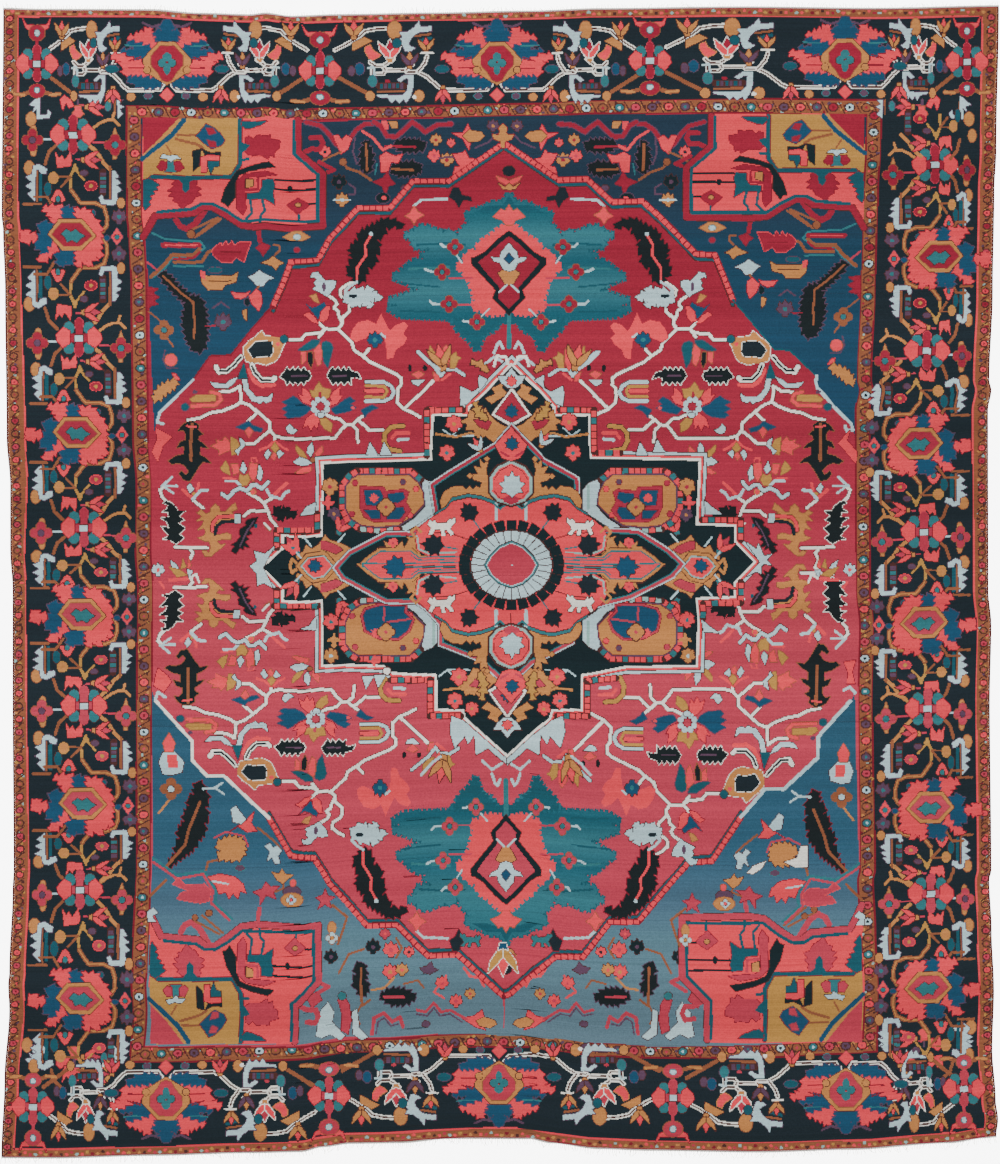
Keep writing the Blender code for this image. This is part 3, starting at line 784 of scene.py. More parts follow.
def draw_field_rim():
    """The ladder band that parts the red field from its blue corners, with plain lines where it thins out."""
    for steps, count in (
        (UPPER_LEFT_STEPS, 10), (UPPER_RIGHT_STEPS, 9), (LOWER_LEFT_STEPS, 9), (LOWER_RIGHT_STEPS, 10),
    ):
        down = 1.0 if steps[0][1] < 500 else -1.0
        banded = steps[:count]
        inner = [(x, y + 5.0 * down) for x, y in banded]
        stroke(inner, "brown", 4.4)
        stroke(inner, "deep teal", 2.6)
        ladder(banded, ("coral", "coral"), 4.6, 6.4, "oxblood")
    stroke(UPPER_LEFT_STEPS[9:14], "oxblood", 1.6)
    stroke(UPPER_LEFT_STEPS[13:15], "ice", 2.6)
    stroke(UPPER_RIGHT_STEPS[8:12], "deep teal", 1.8)
    stroke(UPPER_RIGHT_STEPS[11:14], "ice", 3.2)
    stroke(LOWER_LEFT_STEPS[8:14], "cream", 3.2)
    stroke(LOWER_RIGHT_STEPS[9:15], "ice", 3.6)
    for hook in (
        ((851, 423.5), (853, 430), (847, 431), (845, 426)),
        ((160, 412), (157, 422), (163, 424)),
        ((855, 693), (850, 687), (844, 690)),
        ((155, 700), (158, 692), (165, 697)),
    ):
        stroke(hook, "ice", 3.0)
    for points in (
        ((838, 443), (850, 430), (847, 440), (857, 452), (856, 464), (846, 452)),
        ((172, 437), (156, 428), (157, 440), (152, 452), (158, 462), (163, 446)),
        ((155, 678), (158, 668), (168, 676), (171, 682), (164, 692), (154, 686)),
        ((844, 662), (856, 660), (852, 672), (855, 684), (847, 684), (848, 672)),
    ):
        shape(points, "coral", "oxblood", 0.7)
    trefoil(503, 137, 22, 0, "gold", rim="oxblood")


# One framed corner of the blue, u in from the side of the field and v from its end.
FRAME = (
    ("area", "coral", None, ((0, 119), (12, 98), (50, 95), (60, 89), (69, 89), (83, 97), (98, 107),
        (114, 109), (180, 108), (180, 56), (155, 34), (155, 0), (0, 0))),
    ("area", "ochre", None, ((0, 66), (7, 60), (90, 60), (97, 46), (97, 0), (0, 0))),
    ("area", "crimson", None, ((0, 0), (0, 39), (36, 0))),
    ("line", "blue", 4.6, ((-1, 41), (18, 26), (29, 17), (41, 2))),
    ("line", "gold", 1.4, ((0, 37), (17, 22), (27, 13), (36, 1))),
    ("area", "crimson", "oxblood", ((34, 62), (29, 66), (31, 68), (25, 73), (30, 74), (26, 78), (31, 79),
        (30, 83), (34, 84), (39, 91), (45, 86), (48, 85), (51, 81), (52, 79), (58, 77), (54, 73), (58, 71),
        (53, 68), (54, 65), (53, 61))),
    ("edged", "deep teal", (3.8, "oxblood", 5.2), ((1, 66), (9, 59), (89, 59), (97, 46), (97, 2))),
    ("area", "deep teal", None, ((34, 59), (54, 59), (47, 64), (46, 72), (42, 75), (39, 71), (39, 65))),
    ("area", "deep teal", "oxblood", ((0, 62), (6, 60), (17, 67), (13, 69), (15, 72), (10, 73), (12, 76),
        (7, 78), (9, 81), (5, 84), (8, 86), (2, 93), (0, 88))),
    ("line", "rust", 1.8, ((23, 27), (28, 35))),
    ("area", "crimson", "oxblood", ((14, 49), (18, 43), (24, 44), (24, 51), (18, 53))),
    ("area", "crimson", "oxblood", ((41, 50), (37, 43), (31, 44), (31, 52), (37, 53))),
    ("area", "teal", "oxblood", ((27, 40), (31, 44), (31, 51), (34, 54), (21, 54), (24, 51), (24, 44))),
    ("area", "ice", "brown", ((17, 40), (20, 36), (26, 38), (33, 37), (38, 41), (31, 41), (28, 44),
        (24, 41))),
    ("line", "rust", 2.2, ((34, 17), (53, 17))), ("line", "rust", 2.8, ((33, 21), (53, 26), (60, 30))),
    ("area", "blue", "oxblood", ((63, 6), (70, 9), (77, 15), (82, 22), (79, 27), (69, 31), (62, 26),
        (53, 18), (59, 11))),
    ("area", "crimson", "violet", ((63, 10), (70, 10), (73, 15), (66, 17))),
    ("area", "crimson", "violet", ((64, 22), (73, 24), (73, 29), (67, 29))),
    ("area", "ink", "brown", ((50, 33), (58, 31), (56, 48), (50, 53))),
    ("area", "ink", "brown", ((59, 31), (68, 35), (77, 34), (77, 38), (63, 38))),
    ("area", "coral", "oxblood", ((58, 39), (66, 37), (76, 38), (76, 43), (65, 43), (64, 54), (58, 54))),
    ("area", "deep teal", "brown", ((65, 43), (76, 43), (76, 48), (71, 49), (68, 56), (65, 49))),
    ("area", "crimson", "oxblood", ((99, 28), (103, 27), (102, 20), (106, 18), (110, 21), (114, 17),
        (122, 18), (127, 17), (128, 21), (137, 23), (136, 30), (132, 33), (131, 39), (127, 37), (125, 41),
        (118, 37), (106, 37), (101, 33))),
    ("area", "deep teal", None, ((98, 24), (107, 27), (103, 32), (98, 36))),
    ("area", "deep teal", "oxblood", ((98, 3), (124, 3), (118, 7), (114, 8), (109, 10), (103, 11),
        (99, 8))),
    ("line", "deep teal", 3.0, ((98, 42), (105, 41))),
    ("area", "ink", "brown", ((78, 84), (82, 71), (87, 63), (94, 53), (108, 48), (126, 44), (132, 49),
        (122, 50), (106, 53), (96, 57), (92, 65), (92, 79), (85, 89), (82, 85))),
    ("area", "crimson", "oxblood", ((94, 91), (94, 63), (102, 56), (122, 53), (134, 57), (122, 58),
        (106, 59), (101, 63), (102, 77), (103, 91), (100, 97))),
    ("area", "gold", "brown", ((103, 61), (110, 61), (110, 68), (103, 70))),
    ("line", "crimson", 2.6, ((115, 61), (115, 71), (103, 72))),
    ("area", "deep teal", "oxblood", ((119, 62), (130, 61), (132, 67), (130, 75), (132, 87), (122, 81),
        (104, 81), (104, 75), (116, 74), (119, 69))),
    ("line", "deep teal", 2.6, ((107, 81), (109, 95), (103, 101))),
    ("line", "deep teal", 2.8, ((119, 81), (122, 93), (118, 97), (117, 107))),
    ("line", "ink", 2.2, ((132, 62), (174, 62))), ("line", "ink", 2.2, ((132, 71), (174, 71))),
    ("disc", "ink", None, (147, 71, 2.6, 3.4)),
    ("area", "crimson", "oxblood", ((144, 87), (149, 84), (152, 82), (155, 80), (158, 82), (162, 84),
        (166, 87), (162, 91), (158, 93), (155, 97), (151, 93), (148, 91))),
    ("disc", "gold", "brown", (155, 87, 2.6, 2)), ("line", "deep teal", 2.4, ((156, 97), (156, 104))),
    ("line", "ink", 2.2, ((166, 86), (174, 86))),
    ("line", "crimson", 6.0, ((62, 92), (58, 98), (52, 106), (44, 111), (37, 108), (33, 102))),
    ("line", "rust", 2.2, ((46, 113), (74, 100))), ("line", "rust", 2.2, ((56, 117), (78, 101))),
    ("disc", "rust", "brown", (48, 115, 3, 3)), ("line", "crimson", 4.4, ((115, 110), (117, 123))),
    ("line", "crimson", 5.0, ((168, 20), (177, 19), (180, 25), (177, 31), (168, 31), (158, 36))),
    ("line", "crimson", 4.0, ((176, 44), (191, 52), (180, 56))),
    ("edged", "crimson", (6.2, "brown", 7.6), ((0, 119), (12, 98), (51, 95), (60, 89), (69, 89), (83, 97),
        (98, 107), (114, 109), (180, 108), (180, 56), (155, 34), (155, 2))),
    ("line", "deep teal", 3.4, ((15, 94), (49, 91), (58, 86), (70, 86), (84, 93), (99, 103), (175, 103),
        (175, 57), (151, 36), (151, 3))),
)
# Half of the blue garden at one end of the field, out from the middle line and in from the end.
GARDEN = (
    ("edged", "crimson", (4.0, "violet", 6.0), ((199, 10), (184, 14), (176, 22), (169, 32), (163, 36),
        (155, 27), (149, 18), (140, 12), (133, 12))),
    ("area", "coral", "oxblood", ((172, 24), (164, 42), (157, 37), (153, 26), (159, 23), (163, 28),
        (167, 23))),
    ("edged", "crimson", (4.4, "violet", 6.4), ((131, 10), (124, 14), (118, 24), (109, 25), (101, 18),
        (93, 10), (84, 16), (80, 20), (68, 13), (54, 12))),
    ("area", "gold", "brown", ((117, 9), (108, 9), (107, 16), (113, 16))),
    ("area", "coral", None, ((124, 9), (117, 9), (117, 17), (120, 18))),
    ("area", "coral", "oxblood", ((53, 21), (42, 21), (37, 12), (34, 20), (40, 24), (34, 28), (36, 38),
        (42, 27))),
    ("area", "gold", "brown", ((42, 24), (36, 18), (24, 20), (20, 24), (26, 29), (36, 30))),
    ("wing", "black", "violet", ((112, 33), (104, 28), (84, 29), (79, 34), (86, 39), (104, 39))),
    ("line", "crimson", 2.4, ((120, 34), (90, 35))),
    ("wing", "black", "violet", ((115, 57), (108, 52), (90, 50), (83, 57), (92, 63), (108, 63))),
    ("line", "rust", 2.4, ((113, 57), (92, 58))),
    ("wing", "black", "violet", ((139, 28), (144, 40), (144, 54), (138, 62), (133, 54), (133, 40))),
    ("line", "rust", 2.4, ((139, 32), (138, 58))),
    ("line", "coral", 2.8, ((143, 19), (132, 26), (122, 38), (114, 34))),
    ("area", "coral", "oxblood", ((124, 60), (125, 44), (119, 40), (110, 44), (102, 42), (107, 51),
        (114, 50), (117, 60))),
    ("area", "crimson", "oxblood", ((132, 70), (122, 66), (118, 60), (114, 68), (110, 72), (117, 74),
        (119, 83), (123, 74))),
    ("disc", "ink", "violet", (122, 86, 7, 5)), ("disc", "coral", None, (121, 86, 2.6, 2)),
    ("line", "rust", 2.6, ((162, 50), (158, 56), (146, 60), (134, 68))),
    ("disc", "rust", "brown", (162, 50, 3.4, 3.6)), ("tuft", "ink", "violet", (166, 70, 15, 0)),
    ("line", "violet", 2.0, ((156, 72), (150, 76), (150, 82), (156, 82))),
    ("tuft", "gold", "ice", (163, 88, 14, 0)), ("line", "ice", 1.6, ((171, 88), (155, 88))),
    ("tuft", "gold", "crimson", (69, 28, 12, 0)), ("tuft", "gold", "crimson", (58, 48, 14, 0)),
    ("tuft", "coral", "rose", (71, 44, 13, 0)), ("tuft", "coral", "rose", (54, 31, 9, 0)),
    ("line", "violet", 2.0, ((66, 46), (42, 44))),
    ("area", "coral", "oxblood", ((44, 54), (48, 50), (52, 42), (43, 41), (40, 38), (36, 46), (30, 47),
        (38, 54), (48, 60), (52, 62), (50, 55))),
    ("line", "rust", 2.2, ((184, 50), (178, 46), (164, 40))),
    ("line", "violet", 1.8, ((150, 26), (152, 40), (148, 52))),
    ("line", "teal", 1.6, ((128, 52), (130, 62))), ("tuft", "coral", "navy", (180, 40, 12, 0)),
    ("disc", "violet", "brown", (100, 76, 4, 3)), ("tuft", "violet", "gold", (12, 14, 12, 0)),
    ("line", "violet", 1.8, ((8, 22), (16, 30), (30, 36))),
)
# The flowers of the two upper corners of the blue, from the same corner as the frame.
UPPER_CORNER = (
    ("area", "ice", "brown", ((105, 159), (110, 157), (114, 154), (117, 152), (120, 155), (126, 158),
        (131, 160), (125, 162), (120, 168), (114, 168), (109, 162))),
    ("line", "rust", 2.2, ((116, 168), (112, 173))),
    ("area", "coral", "oxblood", ((88, 174), (95, 175), (103, 175), (107, 173), (104, 178), (98, 181),
        (92, 180))),
    ("area", "coral", "oxblood", ((113, 171), (118, 175), (119, 185), (116, 193), (109, 186), (106, 178))),
    ("disc", "ink", "violet", (104, 184, 2.6, 4)),
    ("area", "gold", "brown", ((99, 193), (104, 191), (104, 203), (101, 200))),
    ("area", "gold", "brown", ((118, 145), (125, 142), (130, 138), (135, 142), (141, 145), (136, 147),
        (133, 152), (129, 148))),
    ("line", "rust", 1.8, ((132, 137), (137, 132), (136, 127), (130, 127))),
    ("area", "gold", "rust", ((140, 119), (149, 114), (157, 113), (167, 119), (159, 123), (149, 123))),
    ("disc", "ice", "teal", (154, 119, 3.4, 2.6)), ("disc", "crimson", "violet", (154, 132, 3, 3)),
    ("area", "crimson", "oxblood", ((113, 130), (119, 125), (127, 128), (125, 131), (120, 138),
        (117, 133))),
    ("wing", "black", "violet", ((17, 155), (25, 156), (35, 168), (47, 178), (57, 180), (61, 188),
        (63, 200), (64, 212), (63, 224), (60, 232), (54, 234), (47, 228), (43, 218), (40, 204), (42, 192),
        (43, 184), (35, 178), (25, 168), (19, 161))),
    ("line", "rust", 2.2, ((20, 158), (37, 174), (50, 184), (51.5, 204), (51, 220))),
    ("line", "rust", 1.6, ((5, 193), (22, 207))), ("cross", "rust", "teal", (21, 212, 17)),
    ("line", "rust", 2.0, ((24, 220), (30, 228))),
    ("line", "violet", 1.6, ((22, 232), (20, 242), (24, 250), (34, 250))),
    ("disc", "coral", "rust", (28, 242, 6, 6)),
    ("area", "coral", "oxblood", ((29, 255), (33, 256), (37, 262), (31, 261))),
    ("area", "crimson", "oxblood", ((4, 169), (15, 171), (9, 175), (16, 179), (10, 183), (15, 186),
        (7, 188), (4, 193))),
    ("wing", "gold", "brown", ((10, 282), (14, 272), (22, 266), (33, 262), (33, 268), (24, 274),
        (15, 282))),
    ("line", "crimson", 1.8, ((63, 208), (72, 208))),
    ("line", "violet", 1.8, ((70, 190), (78, 184), (86, 190))),
)


# The flowers of the lower left corner of the blue, and half of the garden beside it, as they lie there.
LOWER_CORNER = (
    ("area", "ice", "brown", ((159, 762), (163, 752), (175, 752), (184, 762), (182, 772), (172, 775),
        (163, 774))),
    ("area", "coral", "rust", ((163, 743), (169, 733), (175, 743), (173, 752), (165, 752))),
    ("area", "coral", None, ((167, 755), (177, 755), (178, 768), (168, 768))),
    ("line", "gold", 2.2, ((169, 800), (159, 813))), ("cross", "rust", "ice", (171, 789, 19)),
    ("wing", "black", "oxblood", ((196, 783), (203, 784), (206, 792), (208, 800), (205, 808), (208, 816),
        (204, 824), (205, 832), (198, 840), (194, 848), (186, 854), (178, 860), (168, 867), (168, 864),
        (176, 854), (176, 846), (180, 838), (178, 830), (185, 822), (184, 814), (190, 806), (188, 800),
        (194, 794))),
    ("line", "rust", 3.0, ((200, 802), (189, 829), (185, 845), (165, 868))),
    ("line", "ice", 2.4, ((203, 789), (215, 788), (222, 783))),
    ("line", "ice", 2.0, ((215, 788), (224, 794))),
    ("area", "coral", "oxblood", ((229, 832), (238, 826), (247, 832), (257, 831), (251, 823), (254, 812),
        (246, 821))),
    ("area", "ice", "brown", ((231, 809), (236, 806), (240, 812), (246, 819), (241, 824), (233, 822))),
    ("line", "rust", 2.2, ((258, 828), (274, 841), (280, 848))),
    ("area", "ice", "brown", ((265, 846), (270, 843), (273, 848), (277, 846), (282, 850), (278, 856),
        (280, 863), (275, 864), (272, 857), (267, 861), (270, 852))),
    ("wing", "gold", "brown", ((217, 844), (222, 840), (232, 837), (243, 840), (245, 846), (243, 856),
        (236, 860), (218, 858), (221, 851))),
    ("line", "crimson", 1.8, ((214, 838), (226, 832), (244, 836), (248, 846))),
    ("line", "teal", 2.4, ((153, 858), (177, 875), (204, 871), (217, 891), (215, 903), (232, 919))),
    ("line", "crimson", 2.4, ((153, 862), (177, 879), (203, 874), (213, 891), (211, 903), (229, 920))),
    ("line", "rust", 2.6, ((150, 896), (166, 880))),
    ("line", "rust", 2.4, ((206, 870), (208, 862), (217, 860))),
    ("area", "crimson", "coral", ((173, 884), (178, 878), (185, 885), (204, 884), (211, 891), (209, 901),
        (200, 903), (177, 899), (181, 893), (189, 891))),
    ("area", "coral", "oxblood", ((208, 877), (220, 874), (235, 877), (243, 884), (246, 893), (240, 891),
        (238, 899), (233, 893), (229, 899), (226, 892), (219, 894), (216, 886))),
    ("line", "ice", 1.8, ((212, 881), (228, 884))),
    ("area", "crimson", "oxblood", ((253, 892), (262, 889), (266, 882), (270, 887), (280, 886), (273, 892),
        (276, 899), (266, 895), (260, 905), (260, 896))),
    ("line", "rust", 2.0, ((283, 882), (284, 888), (275, 892))),
    ("area", "gold", "brown", ((272, 872), (279, 874), (282, 869), (285, 874), (293, 875), (287, 880),
        (283, 884), (277, 880))),
    ("disc", "violet", "brown", (292, 892, 9, 6)), ("disc", "gold", "rust", (292, 900, 11, 7)),
    ("cross", "ice", "coral", (291, 900, 9)), ("disc", "coral", "rust", (293, 883, 3, 3.4)),
    ("area", "ice", "brown", ((147, 912), (153, 908), (158, 913), (152, 916), (156, 922), (148, 922))),
    ("area", "crimson", "oxblood", ((316, 898), (323, 895), (325, 889), (328, 896), (335, 897), (329, 901),
        (331, 908), (325, 904), (318, 909), (321, 902))),
    ("line", "rust", 2.4, ((332, 905), (347, 917), (343, 930), (338, 944))),
    ("disc", "gold", "rust", (332, 928, 4, 6.4)), ("cross", "ice", "gold", (332, 938, 11)),
    ("disc", "rust", "brown", (209, 913, 3.4, 3)), ("disc", "violet", "teal", (240, 868, 5, 3)),
)
LOWER_GARDEN = (
    ("tuft", "ink", "violet", (331, 957, 14, 0)),
    ("line", "rust", 2.4, ((339, 973), (349, 954), (364, 949))),
    ("tuft", "ink", "violet", (373, 947, 15, 0)), ("tuft", "coral", "rose", (391, 950, 16, 0)),
    ("tuft", "crimson", "coral", (385, 934, 11, 0)),
    ("line", "rust", 2.2, ((396, 958), (402, 948), (396, 938))),
    ("wing", "black", "violet", ((361, 962), (366, 970), (365, 980), (369, 988), (363, 996), (357, 990),
        (353, 982), (357, 974), (354, 968))),
    ("line", "rust", 2.4, ((361, 968), (362, 1006), (370, 1000))),
    ("line", "rust", 2.0, ((362, 1004), (355, 1016), (360, 1024))),
    ("tuft", "coral", "gold", (390, 972, 15, 0)), ("tuft", "gold", "coral", (402, 970, 13, 0)),
    ("line", "gold", 2.2, ((394, 978), (384, 988), (372, 990))),
    ("area", "violet", "brown", ((420, 968), (427, 966), (431, 962), (434, 968), (438, 970), (430, 974),
        (424, 973))),
    ("tuft", "coral", "rose", (442, 983, 13, 0)),
    ("line", "coral", 2.2, ((446, 976), (434, 992), (444, 998))),
    ("wing", "black", "violet", ((380, 996), (390, 989), (406, 990), (416, 997), (406, 1004), (390, 1004))),
    ("line", "crimson", 2.4, ((384, 997), (404, 997))), ("tuft", "coral", "rose", (456, 1001, 13, 0)),
    ("area", "coral", "oxblood", ((462, 1018), (474, 1016), (482, 1010), (484, 1017), (479, 1022),
        (486, 1030), (476, 1027))),
    ("area", "gold", "brown", ((476, 1021), (484, 1017), (494, 1020), (497, 1024), (490, 1028),
        (480, 1026))),
    ("line", "crimson", 2.8, ((417, 1010), (426, 1012), (434, 1003), (441, 1012), (450, 1010),
        (466, 1019))),
    ("line", "violet", 1.6, ((417, 1014), (427, 1016), (434, 1008), (440, 1016), (450, 1014), (462, 1022))),
    ("line", "crimson", 3.6, ((372, 1034), (374, 1018), (384, 1013), (392, 1022), (400, 1017),
        (403, 1027))),
    ("line", "violet", 1.6, ((376, 1034), (378, 1022), (384, 1018), (391, 1026), (398, 1024))),
    ("area", "ice", "brown", ((320, 1012), (328, 1002), (334, 1012), (332, 1022), (345, 1036), (340, 1040),
        (330, 1034), (322, 1038), (316, 1036))),
    ("area", "crimson", "oxblood", ((338, 1000), (344, 996), (349, 1004), (351, 1020), (348, 1034),
        (341, 1030), (342, 1014))),
    ("area", "ice", "brown", ((352, 1012), (357, 1009), (359, 1028), (368, 1037), (362, 1040),
        (353, 1034))),
    ("disc", "teal", "brown", (342, 996, 4, 4)),
    ("area", "crimson", "oxblood", ((306, 996), (318, 992), (322, 1000), (312, 1008))),
    ("tuft", "coral", "navy", (409, 952, 11, 0)), ("disc", "violet", "brown", (426, 1024, 4, 3)),
    ("line", "rust", 2.0, ((404, 984), (418, 980), (424, 988))),
    ("tuft", "gold", "crimson", (470, 994, 11, 0)),
    ("line", "coral", 2.6, ((464, 968), (470, 976), (480, 978), (484, 986))),
)


# The corners of the field and the scale of each frame in them: x, y, across, down.
UPPER_FRAMES = ((143, 118, 1.0, 1.0), (864, 114, -0.986, 0.956))
LOWER_FRAMES = ((150, 1044, 0.935, -1.099), (862, 1042, -1.0, -1.154))
# The flowers of the lower left corner as they lie, and the same carried to the lower right frame.
LOWER_CORNERS = ((0, 0, 1.0, 1.0), (862 + 150 * 0.97, 1042 - 1044 * 0.96, -0.97, 0.96))
GARDEN_X, GARDEN_Y = 505, 112


def draw_corners():
    """The blue corners: their gardens, then the four frames with the flowers beside them."""
    draw_corner_grounds()
    for side in (1.0, -1.0):
        draw_plan(GARDEN, carried(GARDEN_X, GARDEN_Y, side, 1.0))
        draw_plan(LOWER_GARDEN, carried(GARDEN_X - GARDEN_X * side, 0, side, 1.0))
    for corner in UPPER_FRAMES:
        for rows in (FRAME, ARABESQUE, UPPER_CORNER):
            draw_plan(rows, carried(*corner))
    for corner in LOWER_FRAMES:
        draw_plan(FRAME, carried(*corner))
    for corner in LOWER_CORNERS:
        draw_plan(LOWER_CORNER, carried(*corner))
    for patch in (
        ((801, 846), (808, 846), (808, 867), (795, 867), (784, 862), (797, 858)),
        ((747, 873), (753, 866), (766, 861), (762, 868), (753, 874)),
    ):
        shape(patch, "cream", "brown", 0.7)
    draw_field_rim()


# One half of a pendant, x out from its middle line and y down from its tip at the end of the field.
PENDANT = (
    ("wing", "pendant", "deep teal", ((0, 0), (-6, 10), (-19, 10), (-25, 15), (-39, 18), (-44, 24),
        (-37, 28), (-47, 36), (-52, 45), (-57, 38), (-66, 40), (-84, 33), (-91, 34), (-95, 39), (-105, 42),
        (-95, 47), (-96, 54), (-78, 56), (-89, 64), (-84, 65), (-97, 69), (-109, 79), (-117, 84),
        (-107, 88), (-101, 91), (-89, 97), (-111, 104), (-121, 107), (-111, 113), (-122, 115), (-109, 123),
        (-59, 125), (-54, 132), (-49, 140), (-43, 144), (-38, 149), (-32, 158), (-28, 147), (-24, 140),
        (-14, 137), (-9, 127), (-4, 124), (0, 124))),
    ("wing", "deep teal", None, ((-56, 127), (-49, 140), (-38, 149), (-32, 157), (-26, 143), (-10, 130),
        (-1, 128), (-1, 122), (-30, 126))),
    ("area", "deep teal", None, ((0, 2), (-6, 12), (-20, 12), (-36, 20), (-20, 20), (-8, 17), (0, 18))),
    ("line", "deep teal", 2.2, ((-92, 52), (-60, 50), (-44, 52))),
    ("line", "deep teal", 1.8, ((-110, 90), (-70, 94))), ("line", "teal", 2.4, ((-100, 76), (-60, 74))),
    ("line", "deep teal", 2.0, ((-108, 118), (-70, 119))), ("line", "teal", 4.6, ((0, 122), (0, 154))),
    ("wing", "coral", None, ((0, 29), (-9, 35), (-19, 43), (-29, 49), (-33, 57), (-42, 60), (-46, 69),
        (-53, 73), (-46, 79), (-39, 89), (-37, 97), (-34, 107), (-37, 115), (-29, 117), (-19, 122),
        (-4, 120), (0, 116))),
    ("area", "ink", "brown", ((0, 38), (-12, 47), (-24, 59), (-33, 64), (-37, 65), (-37, 71), (-27, 82),
        (-13, 97), (-16, 105), (-6, 115), (0, 122))),
    ("area", "crimson", None, ((0, 43), (-10, 51), (-22, 62), (-31, 69), (-24, 78), (-9, 95), (-11, 105),
        (0, 116))),
    ("area", "ice", "brown", ((0, 50), (-8, 59), (-9, 65), (-18, 64), (-15, 68), (-9, 70), (-5, 78),
        (0, 79))),
    ("area", "blue", "brown", ((0, 60), (-5, 66), (0, 71))),
    ("area", "gold", "brown", ((0, 79), (-6, 77), (-11, 80), (-4, 91), (0, 92))),
    ("line", "ice", 2.0, ((-2, 92), (-10, 99))),
    ("area", "coral", "rust", ((0, 12), (-4, 18), (-8, 16), (-16, 24), (-7, 27), (-3, 32), (0, 32))),
    ("area", "coral", "rust", ((0, -12), (-4, -14), (-13, -17), (-10, -12), (-4, -9), (0, -8))),
    ("area", "gold", "brown", ((0, -10), (-4, -6), (-11, -10), (-6, -4), (0, -3))),
    ("disc", "navy", "brown", (0, -22, 6, 5)), ("line", "ice", 1.6, ((-54, 60), (-47, 70))),
    ("line", "rose", 1.8, ((-60, 85), (-37, 85))), ("line", "rose", 1.8, ((-54, 112), (-36, 112))),
    ("line", "ice", 1.8, ((-27, 123), (-20, 116))), ("line", "ice", 2.4, ((-61, 54), (-65, 54), (-68, 51))),
    ("line", "ice", 2.4, ((-74, 79), (-80, 78), (-84, 76))),
    ("line", "ice", 2.4, ((-69, 111), (-76, 111), (-79, 108))),
    ("line", "ice", 2.2, ((-40, 129), (-46, 128))), ("cross", "crimson", "teal", (-54, 54, 14)),
    ("cross", "crimson", "teal", (-67, 79, 14)), ("cross", "crimson", "teal", (-60, 111, 15)),
    ("cross", "crimson", "teal", (-32, 129, 14)),
    ("wing", "black", "oxblood", ((-152, 89), (-162, 79), (-157, 65), (-159, 55), (-151, 47), (-149, 39),
        (-134, 31), (-125, 26), (-111, 28), (-105, 35), (-114, 33), (-123, 35), (-125, 42), (-132, 47),
        (-129, 55), (-133, 63), (-133, 71), (-141, 75), (-143, 83), (-147, 89))),
    ("line", "coral", 2.6, ((-152, 87), (-152, 75), (-143, 62), (-144, 52), (-138, 42))),
    ("disc", "ice", None, (-138, 41, 2, 2)),
    ("wing", "ice", "brown", ((-166, 105), (-159, 98), (-152, 96), (-144, 97), (-139, 94), (-137, 99),
        (-131, 101), (-128, 107), (-135, 105), (-139, 109), (-137, 114), (-147, 110), (-152, 113),
        (-159, 111))),
    ("disc", "navy", None, (-156, 103, 4.5, 2)),
    ("line", "ice", 2.6, ((-152, 89), (-159, 93), (-164, 98), (-158, 112))),
    ("area", "coral", "crimson", ((-128, 120), (-133, 131), (-141, 127), (-151, 129), (-157, 137),
        (-159, 145), (-153, 149), (-143, 145), (-137, 141), (-125, 143), (-123, 153), (-122, 166),
        (-116, 165), (-113, 157), (-105, 151), (-102, 145), (-106, 141), (-101, 133), (-105, 129),
        (-113, 132), (-119, 138), (-124, 129))),
    ("tuft", "blue", "teal", (-134, 147, 16, 0)), ("line", "ice", 2.2, ((-128, 141), (-124, 144))),
    ("area", "navy", "oxblood", ((-56, -6), (-50, -5), (-47, 2), (-38, 4), (-37, 8), (-46, 7), (-50, 15),
        (-54, 8), (-60, 4))),
    ("line", "ice", 2.6, ((-62, 6), (-88, 7), (-95, 13))),
    ("area", "coral", "rust", ((-95, 13), (-99, 20), (-104, 23), (-98, 26), (-95, 31), (-92, 26),
        (-85, 22), (-91, 19))),
    ("line", "ice", 2.8, ((-15, 160), (-12, 152), (-9, 149), (-6, 155))),
    ("line", "ice", 2.6, ((-25, 172), (-15, 164), (-4, 170))),
    ("lily", "gold", "coral", (-68, 166, 24, -12)),
    ("line", "ice", 2.8, ((-90, 159), (-79, 170), (-70, 176))),
)
